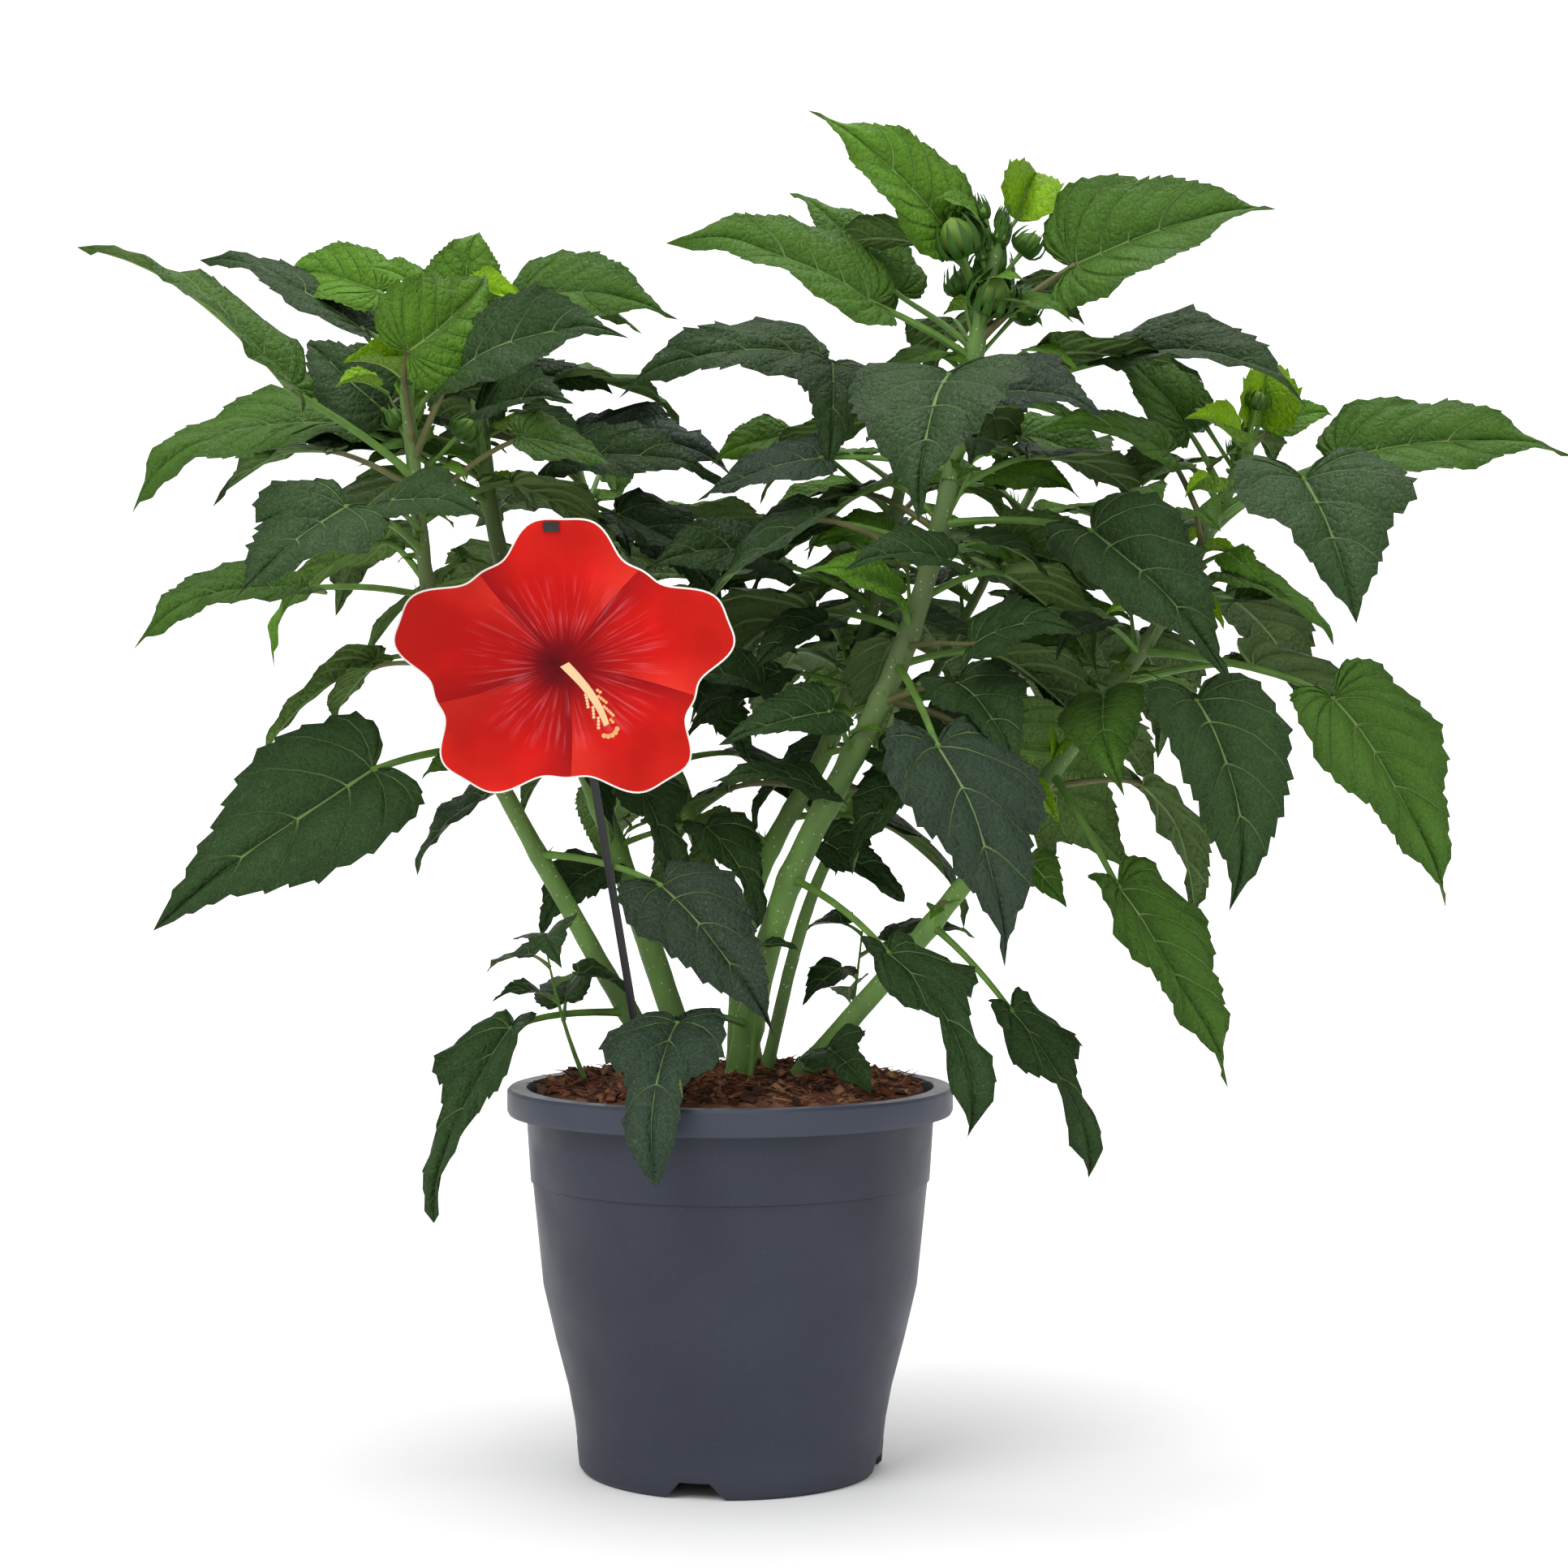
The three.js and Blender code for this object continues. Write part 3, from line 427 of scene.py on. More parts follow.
def between(first, second, share):
    """A colour part of the way from one to another."""
    return tuple((1 - share) * a + share * b for a, b in zip(first[:3], second[:3]))


def pot_material(colour):
    """Grey moulded plastic with a fine pale speckle, dusty patches, and a painted highlight that makes the rim band
    lighter.
    """
    recipe = Recipe("pot_plastic")
    patches = recipe.noise(9, 5)
    dusty = recipe.mix(recipe.spread(patches, 0.35, 0.75), shade(colour, 0.84), shade(colour, 1.2))
    speckle = recipe.spread(recipe.cells(480), 0.0, 0.24, 1.0, 0.0)
    sparse = recipe.spread(recipe.noise(210, 1), 0.46, 0.6)
    flecks = recipe.math("MULTIPLY", speckle, sparse)
    height = recipe.add("SeparateXYZ", {"Vector": recipe.place}).outputs["Z"]
    # Painted highlight: the rim band above 190 mm is painted lighter, as if it caught the light.
    lit_rim_band = recipe.mix(recipe.spread(height, 0.189, 0.191), dusty, shade(colour, 1.4))
    tint = recipe.mix(recipe.math("MULTIPLY", flecks, 0.55), lit_rim_band, shade(colour, 2.6))
    recipe.grain(recipe.noise(900, 2), 0.00006)
    recipe.grain(recipe.noise(22, 2), 0.0004)
    return recipe.finish(tint, recipe.spread(recipe.noise(30, 4), 0.3, 0.7, 0.42, 0.56), 0.3)


def soil_material(name, colour, contrast):
    """Moist coir: browns that change from crumb to crumb."""
    recipe = Recipe(name)
    crumbs = recipe.noise(160, 4)
    stops = ((0.3, shade(colour, 1 - contrast)), (0.52, colour), (0.75, shade(colour, 1 + 1.6 * contrast)))
    recipe.grain(recipe.noise(520, 4), 0.0012)
    return recipe.finish(recipe.ramp(crumbs, stops), recipe.spread(crumbs, 0, 1, 0.98, 0.8), 0.2)


def bark_material(settings):
    """Young bark: fine pale lenticels on green, with painted shade that makes it darker and greyer inside the crown,
    and fresher at its top.
    """
    recipe = Recipe("young_bark")
    height = recipe.add("SeparateXYZ", {"Vector": recipe.place}).outputs["Z"]
    # Painted shade: the band inside the crown takes the darker, greyer shaded bark colour; the top is a fresher green.
    stops = ((0.34, settings.bark), (0.44, settings.old_bark), (0.5, settings.old_bark), (0.57, settings.new_bark))
    bark_tone_and_crown_shade = recipe.ramp(height, stops)
    stretched = recipe.add("Mapping", {"Vector": recipe.place, "Scale": (1, 1, 0.3)}).outputs["Vector"]
    streaks = recipe.noise(70, 4, stretched)
    dark = shade(between(settings.bark, settings.old_bark, 0.5), 0.72)
    mottled = recipe.mix(recipe.spread(streaks, 0.3, 0.7), dark, bark_tone_and_crown_shade)
    dots = recipe.spread(recipe.cells(300), 0.05, 0.22, 1.0, 0.0)
    specks = recipe.math("MULTIPLY", dots, recipe.spread(recipe.noise(120, 2), 0.4, 0.55))
    tint = recipe.mix(recipe.math("MULTIPLY", specks, 0.85), mottled, paint(206, 212, 164))
    recipe.grain(specks, 0.00025)
    recipe.grain(recipe.noise(240, 3, stretched), 0.0003)
    return recipe.finish(tint, recipe.spread(streaks, 0, 1, 0.5, 0.7), 0.35)


def stalk_material(name, colour):
    """A smooth stalk that is a little darker in streaks."""
    recipe = Recipe(name)
    streaks = recipe.noise(90, 3)
    tint = recipe.mix(recipe.spread(streaks, 0.3, 0.7), shade(colour, 0.75), shade(colour, 1.15))
    recipe.grain(recipe.noise(500, 2), 0.0001)
    return recipe.finish(tint, recipe.spread(streaks, 0, 1, 0.42, 0.6), 0.25)


def blade_material(name, colour, vein, roughness, cell_depth, specular):
    """A leaf side: painted lighter on the quilted bulges between the veins and painted shade along the vein furrows,
    each leaf lighter or darker at random, with soft patches, and a puckered net of small pale veins.
    """
    recipe = Recipe(name)
    # Painted shade: this attribute darkens the blade along its vein furrows, midrib and margin and lightens the
    # quilted bulges, on top of each leaf's random lightness.
    light = recipe.add("Attribute", attribute_name=LEAF_TONE_AND_SHADE).outputs["Fac"]
    patches = recipe.noise(95, 4)
    toned_and_shaded = recipe.mix(light, shade(colour, 0.5), shade(colour, 1.55))
    tint = recipe.mix(recipe.spread(patches, 0.35, 0.75, 0.0, 0.4), toned_and_shaded, shade(colour, 1.5))
    net = recipe.cells(210, "DISTANCE_TO_EDGE")
    netted = recipe.mix(recipe.spread(net, 0.0, 0.05, 0.1, 0.0), tint, vein)
    recipe.grain(recipe.spread(net, 0.0, 0.3), 3 * cell_depth)
    recipe.grain(recipe.spread(recipe.cells(420, "DISTANCE_TO_EDGE"), 0.0, 0.12), cell_depth)
    recipe.grain(recipe.noise(60, 3), 0.0012)
    return recipe.finish(netted, recipe.spread(patches, 0.2, 0.8, roughness, roughness + 0.14), specular)


def vein_material(name, colour):
    recipe = Recipe(name)
    drift = recipe.noise(60, 3)
    tint = recipe.mix(recipe.spread(drift, 0.3, 0.7), shade(colour, 0.82), shade(colour, 1.08))
    recipe.grain(recipe.noise(400, 2), 0.0001)
    return recipe.finish(tint, recipe.spread(drift, 0, 1, 0.45, 0.6), 0.2)


def card_material(settings, centre, size):
    """The printed flower: five petals with fine veins, dark where they meet and at the throat."""
    recipe = Recipe("card_print_red")
    mapping = {"Vector": recipe.place, "Location": centre, "Rotation": (math.radians(STAKE["lean"]), 0, 0)}
    card = recipe.add("Mapping", mapping, vector_type="TEXTURE").outputs["Vector"]
    parts = recipe.add("SeparateXYZ", {"Vector": card}).outputs
    across = recipe.math("DIVIDE", parts["X"], size[0] / 2)
    up = recipe.math("DIVIDE", parts["Z"], size[1] / 2)
    angle = recipe.math("ARCTAN2", across, up)
    squares = recipe.math("ADD", recipe.math("POWER", across, 2.0), recipe.math("POWER", up, 2.0))
    radius = recipe.math("SQRT", squares)
    turn = recipe.math("MULTIPLY", angle, CARD["petals"] / (2 * math.pi))
    swirl = recipe.math("SUBTRACT", 0.62, recipe.math("MULTIPLY", radius, 0.12))
    petal = recipe.math("FRACT", recipe.math("ADD", turn, swirl))
    rays = recipe.add("CombineXYZ", {"X": recipe.math("MULTIPLY", angle, 7.0), "Y": radius}).outputs["Vector"]
    veins = recipe.noise(2.6, 5, rays)
    wobble = recipe.math("MULTIPLY", recipe.math("SUBTRACT", veins, 0.5), 0.22)
    reach = recipe.math("ADD", radius, wobble)
    red = settings.petal
    stops = ((0.0, shade(settings.throat, 0.4)), (0.14, settings.throat), (0.3, between(settings.throat, red, 0.7)),
             (0.55, red), (1.0, between(red, paint(244, 60, 40), 0.3)))
    face = recipe.ramp(reach, stops)
    shadow = recipe.spread(petal, 0.0, 0.24, 0.8, 0.0)
    seam = recipe.math("MULTIPLY", shadow, recipe.spread(radius, 1.0, 0.3, 0.4, 1.0))
    folded = recipe.mix(seam, face, settings.throat)
    ring = recipe.math("MULTIPLY", recipe.spread(radius, 0.16, 0.3), recipe.spread(radius, 0.62, 0.34))
    sheen = recipe.math("MULTIPLY", ring, recipe.spread(veins, 0.52, 0.72, 0.0, 0.45))
    glossy = recipe.mix(sheen, folded, paint(246, 150, 164))
    rim = recipe.math("MULTIPLY", recipe.spread(petal, 0.7, 1.0, 0.0, 0.3), recipe.spread(radius, 0.2, 0.6))
    lit = recipe.mix(rim, glossy, paint(246, 84, 64))
    clouds = recipe.spread(recipe.noise(16, 4), 0.42, 0.62, 0.55, 0.0)
    deep = recipe.mix(clouds, lit, shade(red, 0.5))
    recipe.grain(recipe.noise(260, 2), 0.00005)
    return recipe.finish(deep, recipe.spread(veins, 0, 1, 0.4, 0.5), 0.08)


def plain_plastic(name, colour, roughness):
    """Smooth plastic with a slight change of sheen."""
    recipe = Recipe(name)
    drift = recipe.noise(35, 3)
    tint = recipe.mix(recipe.spread(drift, 0.3, 0.7), shade(colour, 0.93), shade(colour, 1.05))
    recipe.grain(recipe.noise(600, 2), 0.00004)
    return recipe.finish(tint, recipe.spread(drift, 0, 1, roughness, roughness + 0.12), 0.45)


# ---------- rules of growth, in mm and degrees ----------

def seeded(seed):
    """A function that gives a number between 0 and 1 at each call, the same each time for the same seed."""
    state = seed

    def draw():
        nonlocal state
        state = (state * 1664525 + 1013904223) % 4294967296
        return state / 4294967296
    return draw


def mix(first, second, share):
    return first + (second - first) * share


def unit(vector):
    return vector / np.linalg.norm(vector)


def direction(heading, rise):
    """The unit vector of a compass heading and a rise."""
    level, turn = math.cos(math.radians(rise)), math.radians(heading)
    return np.array((level * math.cos(turn), level * math.sin(turn), math.sin(math.radians(rise))))


class Route:
    """A curve given by a function of a parameter from 0 to 1, and read by shares of its length."""

    STEPS = 200

    def __init__(self, curve):
        self.curve = curve
        self.marks = np.linspace(0, 1, self.STEPS + 1)
        spans = np.linalg.norm(np.diff(curve(self.marks), axis=0), axis=1)
        self.reach = np.concatenate(([0.0], np.cumsum(spans)))
        self.length = self.reach[-1]

    def points(self, shares):
        return self.curve(np.interp(np.asarray(shares) * self.length, self.reach, self.marks))

    def at(self, share):
        return self.points(np.array([share]))[0]


def spline(points):
    """A uniform Catmull-Rom spline through points, run on straight at both ends."""
    knots = np.array(points, float)
    knots = np.vstack((2 * knots[0] - knots[1], knots, 2 * knots[-1] - knots[-2]))
    spans = len(points) - 1

    def curve(marks):
        place = marks * spans
        first = np.minimum(place.astype(int), spans - 1)
        w = (place - first)[:, None]
        a, b, c, d = (knots[first + k] for k in range(4))
        return 0.5 * (2 * b + (c - a) * w + (2 * a - 5 * b + 4 * c - d) * w**2 + (3 * b - a - 3 * c + d) * w**3)
    return curve


def bow(foot, middle, tip):
    """A quadratic curve from foot to tip, drawn towards the middle point."""
    def curve(marks):
        w = marks[:, None]
        return (1 - w) ** 2 * foot + 2 * w * (1 - w) * middle + w**2 * tip
    return curve


def twig_route(foot, heading, rise, long):
    tip = foot + direction(heading, rise) * long
    middle = (foot + tip) / 2 + direction(heading, rise - 90) * 0.08 * long
    return Route(bow(foot, middle, tip))


def drooped(bend, length, across, along, above):
    """Points of a blade that runs from 0 along +y and bends down to its tip: across, along as a share, above."""
    radius = length / (2 * math.sin(bend / 2))
    turn = bend * (0.5 - along)
    reach = radius * math.sin(bend / 2) - (radius + above) * np.sin(turn)
    height = (radius + above) * np.cos(turn) - radius * math.cos(bend / 2)
    return np.stack((across, reach, height), axis=-1)


def aimed(heading, rise, face):
    """Axes (in columns) whose y has a heading and a rise, with z as near the sky as it goes, then turned."""
    along = direction(heading, rise)
    side = unit(np.cross(along, (0, 0, 1)))
    upper = np.cross(side, along)
    if side[1] > 0:
        side = -side
    upper = upper * math.cos(math.radians(face)) + side * math.sin(math.radians(face))
    return np.column_stack((np.cross(along, upper), along, upper))


class Leaf:
    """A leaf on its stalk: where it roots, where its blade begins, and how the blade lies."""

    def __init__(self, route, row, thin=1.0, swing=0):
        at, stalk, blade, face, tone = row
        self.root = route.at(at)
        self.out = direction(stalk[0] + swing, stalk[1])
        self.base = self.root + self.out * stalk[2]
        self.axes = aimed(blade[0] + swing, blade[1], face)
        self.length, self.width = blade[2], blade[3]
        self.thin, self.tone = thin, tone
        self.old = at < OLD_LEAF and tone in (DEEP, DARK)

    def placed(self, points):
        return self.base + points @ self.axes.T

    def tip(self, settings):
        return self.placed(drooped(settings.droop, self.length, 0.0, 1.0, 0.0))


def far_leaves(bare, count, seed):
    """Leaves on the far side of a stem, spread up it and round it by the golden section."""
    draw, tones = seeded(seed), seeded(seed + 100)
    rows = []
    for i in range(count):
        up = (i + 0.5) / count
        spread = 2 * ((0.618 * i + 0.15 * draw()) % 1) - 1
        heading = 90 + 85 * spread
        stalk = (heading, mix(5, 40, up) + 10 * (draw() - 0.5), mix(80, 38, up))
        length = mix(112, 62, up) * (0.85 + 0.3 * draw())
        rise = mix(-45, 0, up) + 20 * (draw() - 0.5)
        blade = (heading + 30 * (draw() - 0.5), rise, length, 0.64 * length)
        tone = (DEEP, DARK, DARK, MID, MID, FRESH)[min(5, int(3.6 * tones() + 2.6 * up))]
        rows.append((mix(bare + 0.04, 0.97, up), stalk, blade, 30 * (draw() - 0.5), tone))
    return rows


def twig_leaves(count, length, draw, tone):
    """Small leaves along a twig, round it by the golden angle."""
    start = 360 * draw()
    rows = []
    for i in range(count):
        heading = start + 137.5 * i
        long = length * (0.7 + 0.5 * draw())
        blade = (heading, -30 + 40 * draw(), long, 0.64 * long)
        at = mix(0.5, 1, (i + 1) / count) - 0.02
        rows.append((at, (heading, 25, 0.4 * long), blade, 20, tone))
    return rows


class Bud:
    """A bud on its stalk: a young one is small, with long bracts."""

    def __init__(self, route, at, heading, rise, stalk, width, young=False):
        self.root = route.at(at)
        self.axes = aimed(heading, rise, 0)
        self.stalk, self.width, self.young = stalk, width, young

    def placed(self, points):
        return self.root + points @ self.axes.T

    def tip(self):
        return self.placed(np.array((0, self.stalk + 1.2 * self.width, 0)))


# ---------- growth set against the frame ----------

SEATED = 0.5


def corners(node):
    """The corners of a solid of the frame, in mm."""
    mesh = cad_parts[node].data
    place = np.empty(3 * len(mesh.vertices))
    mesh.vertices.foreach_get("co", place)
    return place.reshape(-1, 3) / MM


def seated(node_corners, tip_of, swings=SWINGS):
    """The first turn that puts a tip on a corner of its solid, or None for a piece that the solid skips."""
    for swing in swings:
        if np.min(np.linalg.norm(node_corners - tip_of(swing), axis=1)) < SEATED:
            return swing
    return None


# Leaves that fill the gaps between the crowns, in the same form as those above.
BETWEEN = {
    "left_back": (
        (0.3, (-170, 10, 12), (-150, -45, 52, 40), 30, DARK),
        (0.8, (0, -15, 75), (-10, -35, 75, 46), 35, DARK),
        (0.86, (-17, -20, 50), (-5, -8, 95, 50), 40, DARK),
    ),
    "main": (
        (0.66, (175, 15, 60), (170, -30, 70, 44), 40, DARK),
        (0.75, (180, 5, 70), (172, -18, 70, 44), 40, DEEP),
    ),
}


class Growth:
    """What grows on one stem: leaves, young leaves, twigs and buds, at the frame's places."""

    def __init__(self, name, settings):
        route, self.radius, self.bare = STEMS[name]
        self.name, self.settings = name, settings
        self.route = Route(spline(route))
        self.crown = corners("crown_" + name)
        self.nodes = ["crown_" + name]
        self.leaves, self.twigs, self.buds = [], [], []
        self.grow_leaves()
        self.grow_buds()
        self.grow_twigs()
        self.grow_inner_leaves()

    def grow_inner_leaves(self):
        """Smaller leaves close to the stem that fill the crown, within the reach of the others."""
        draw = seeded(TWIGS[self.name][1] + 300)
        count = int(INNER_LEAVES * (1 - self.bare + 0.12))
        for i in range(count):
            up = (i + 0.5) / count
            heading = 137.5 * i + 50 * draw()
            stalk = (heading, mix(0, 45, up) + 20 * (draw() - 0.5), mix(52, 20, up) * (0.7 + 0.6 * draw()))
            length = mix(78, 42, up) * (0.75 + 0.5 * draw())
            blade = (heading + 50 * (draw() - 0.5), mix(-50, -5, up) + 30 * (draw() - 0.5), length, 0.62 * length)
            tone = (DEEP, DARK, DARK, DARK, MID, FRESH)[min(5, int(4 * draw() + 2.2 * up))]
            leaf = Leaf(self.route, (mix(self.bare - 0.12, 0.93, up), stalk, blade, 20, tone))
            if self.clear_of_card(leaf) and not any(self.pierced(bud, [leaf]) for bud in self.buds):
                self.leaves.append(leaf)

    def clear_of_card(self, leaf):
        """Whether a leaf stays behind the label's card, or away from it."""
        low, high = (np.array(corner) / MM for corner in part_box("label_card"))
        places = leaf.placed(drooped(self.settings.droop, leaf.length, np.zeros(5), np.linspace(0, 1, 5), 0.0))
        margin = 0.5 * leaf.width + 8
        beside = (places[:, 0] > low[0] - margin) & (places[:, 0] < high[0] + margin)
        level = (places[:, 2] > low[2] - margin) & (places[:, 2] < high[2] + margin)
        return not np.any(beside & level & (places[:, 1] < high[1] + margin))

    def seat(self, solid, route, row, thin=1.0, swings=SWINGS):
        """A leaf at the turn that its solid has, or None where the solid skips it."""
        swing = seated(solid, lambda turn: Leaf(route, row, thin, turn).tip(self.settings), swings)
        return None if swing is None else Leaf(route, row, thin, swing)

    def grow_leaves(self):
        for number, row in enumerate(LEAVES[self.name], 1):
            solid = self.crown
            if row[0] <= self.bare:
                node = f"leaf_{self.name}_{number}"
                solid = corners(node)
                self.nodes.append(node)
            leaf = self.seat(solid, self.route, row)
            self.leaves.append(leaf or Leaf(self.route, row))
        self.leaves.extend(Leaf(self.route, row) for row in BETWEEN.get(self.name, ()))
        rows = far_leaves(self.bare, *FAR_LEAVES[self.name])
        seats = (self.seat(self.crown, self.route, row) for row in rows)
        self.leaves.extend(leaf for leaf in seats if leaf)

    def grow_twigs(self):
        """The solids' twigs, and finer ones in the leaves' axils."""
        count, seed = TWIGS[self.name]
        draw = seeded(seed)
        for i in range(count):
            foot = self.route.at(mix(self.bare + 0.05, 0.85, (i + 0.5) / count))
            twig = twig_route(foot, 360 * draw(), 50 + 20 * draw(), TWIG["long"] * (0.7 + 0.6 * draw()))
            rows = twig_leaves(TWIG["leaves"], TWIG["leaf"], draw, FRESH)
            if self.seat(self.crown, twig, rows[0], THIN, (0,)):
                self.twigs.append((twig, TWIG["radius"]))
                self.leaves.extend(Leaf(twig, row, THIN) for row in rows)
        draw = seeded(seed + 200)
        for row in LEAVES[self.name]:
            heading, rise = row[1][0] + 50 * (draw() - 0.5), mix(45, 75, draw())
            long, size, tone = 10 + 16 * draw(), 13 + 14 * draw(), (LIME, FRESH, FRESH)[int(3 * draw())]
            if draw() < 0.55 and 0.25 < row[0] < 0.97:
                twig = twig_route(self.route.at(row[0]), heading, rise, long)
                self.twigs.append((twig, 0.9))
                self.leaves.extend(Leaf(twig, small, THIN) for small in twig_leaves(2, size, draw, tone))

    def grow_buds(self):
        if self.name not in BUDS:
            return
        count, start, width, seed = BUDS[self.name]
        draw = seeded(seed)
        for i in range(count):
            at = mix(start, 0.99, (i + 0.5) / count)
            size = width * (0.75 + 0.5 * draw())
            heading, rise, stalk = 137.5 * i + 40 * draw(), 45 + 30 * draw(), 16 + 20 * draw()
            make = lambda turn: Bud(self.route, at, heading + turn, rise, stalk, size)
            swing = seated(self.crown, lambda turn: make(turn).tip())
            if swing is not None and not self.pierced(make(swing), self.leaves):
                self.buds.append(make(swing))
        for i in range(count):
            at, heading, rise = 0.94 + 0.05 * draw(), 137.5 * i + 60 * draw(), 58 + 25 * draw()
            young = Bud(self.route, at, heading, rise, 9 + 11 * draw(), (0.5 + 0.4 * draw()) * width, True)
            if not self.pierced(young, self.leaves):
                self.buds.append(young)

    def pierced(self, bud, leaves):
        """Whether one of some leaves runs through a bud."""
        middle = bud.placed(np.array((0, bud.stalk + 0.6 * bud.width, 0)))
        across, along = np.meshgrid(np.linspace(-0.4, 0.4, 5), np.linspace(0.05, 0.95, 10))
        for leaf in leaves:
            blade = leaf.placed(drooped(self.settings.droop, leaf.length, across * leaf.width, along, 0.0))
            if np.min(np.linalg.norm(blade - middle, axis=-1)) < 0.5 * bud.width:
                return True
        return False


def grow_shoot(name, settings):
    """A shoot from the soil: its twig and its leaves."""
    shoot = SHOOTS[name]
    draw = seeded(shoot["seed"])
    twig = twig_route(np.array(shoot["foot"], float), *shoot["aim"], shoot["long"])
    solid = corners(name)
    leaves = []
    for row in twig_leaves(shoot["leaves"], shoot["leaf"], draw, DARK):
        swing = seated(solid, lambda turn: Leaf(twig, row, THIN, turn).tip(settings))
        if swing is not None:
            leaves.append(Leaf(twig, row, THIN, swing))
    return twig, leaves


# ---------- many small shapes in one mesh ----------

class Batch:
    """Small shapes gathered into one mesh, with a material to each face and a lightness to each point; on leaves the
    lightness holds each leaf's random tone and painted shade along its veins.

    A face has four corners, the last one repeated in a triangle.
    """

    def __init__(self):
        self.points, self.faces, self.paints, self.lights, self.count = [], [], [], [], 0

    def add(self, points, faces, paints, lights=0.5):
        faces = np.asarray(faces)
        self.points.append(np.asarray(points, float))
        self.faces.append(faces + self.count)
        self.paints.append(np.broadcast_to(paints, len(faces)))
        self.lights.append(np.broadcast_to(lights, len(points)))
        self.count += len(points)

    def build(self, name, materials, smooth_angle=math.radians(35)):
        """The finished piece, from mm."""
        points, faces, paints = (np.concatenate(part) for part in (self.points, self.faces, self.paints))
        sizes = np.where(faces[:, 2] == faces[:, 3], 3, 4)
        kept = np.arange(4)[None, :] < sizes[:, None]
        mesh = bpy.data.meshes.new(name)
        mesh.vertices.add(len(points))
        mesh.vertices.foreach_set("co", (points * MM).astype(np.float32).ravel())
        mesh.loops.add(int(sizes.sum()))
        mesh.loops.foreach_set("vertex_index", faces[kept].astype(np.int32))
        mesh.polygons.add(len(faces))
        mesh.polygons.foreach_set("loop_start", (np.cumsum(sizes) - sizes).astype(np.int32))
        for material in materials:
            mesh.materials.append(material)
        mesh.polygons.foreach_set("material_index", paints.astype(np.int32))
        shades = mesh.attributes.new(LEAF_TONE_AND_SHADE, "FLOAT", "POINT")
        shades.data.foreach_set("value", np.concatenate(self.lights).astype(np.float32))
        mesh.update(calc_edges=True)
        if mesh.validate():
            raise RuntimeError(f"{name} has broken faces")
        piece = bpy.data.objects.new(name, mesh)
        bpy.context.scene.collection.objects.link(piece)
        smooth(piece, smooth_angle)
        return piece


def tube(batch, centres, radii, sides, material):
    """A round closed tube along some points, with a radius at each."""
    centres = np.asarray(centres, float)
    along = np.gradient(centres, axis=0)
    along /= np.linalg.norm(along, axis=1)[:, None]
    side = unit(np.cross(along[0], (0.3, 0.9, 0.2)))
    turns = np.arange(sides) * 2 * math.pi / sides
    rings = []
    for centre, towards, radius in zip(centres, along, radii):
        side = unit(side - towards * (side @ towards))
        third = np.cross(towards, side)
        rings.append(centre + radius * (np.outer(np.cos(turns), side) + np.outer(np.sin(turns), third)))
    points = np.vstack((*rings, centres[:1], centres[-1:]))
    faces = []
    last = len(rings) - 1
    foot, tip = sides * len(rings), sides * len(rings) + 1
    for i in range(sides):
        j = (i + 1) % sides
        faces.extend((k * sides + i, k * sides + j, (k + 1) * sides + j, (k + 1) * sides + i) for k in range(last))
        faces.append((foot, j, i, i))
        faces.append((tip, last * sides + i, last * sides + j, last * sides + j))
    batch.add(points, faces, material)


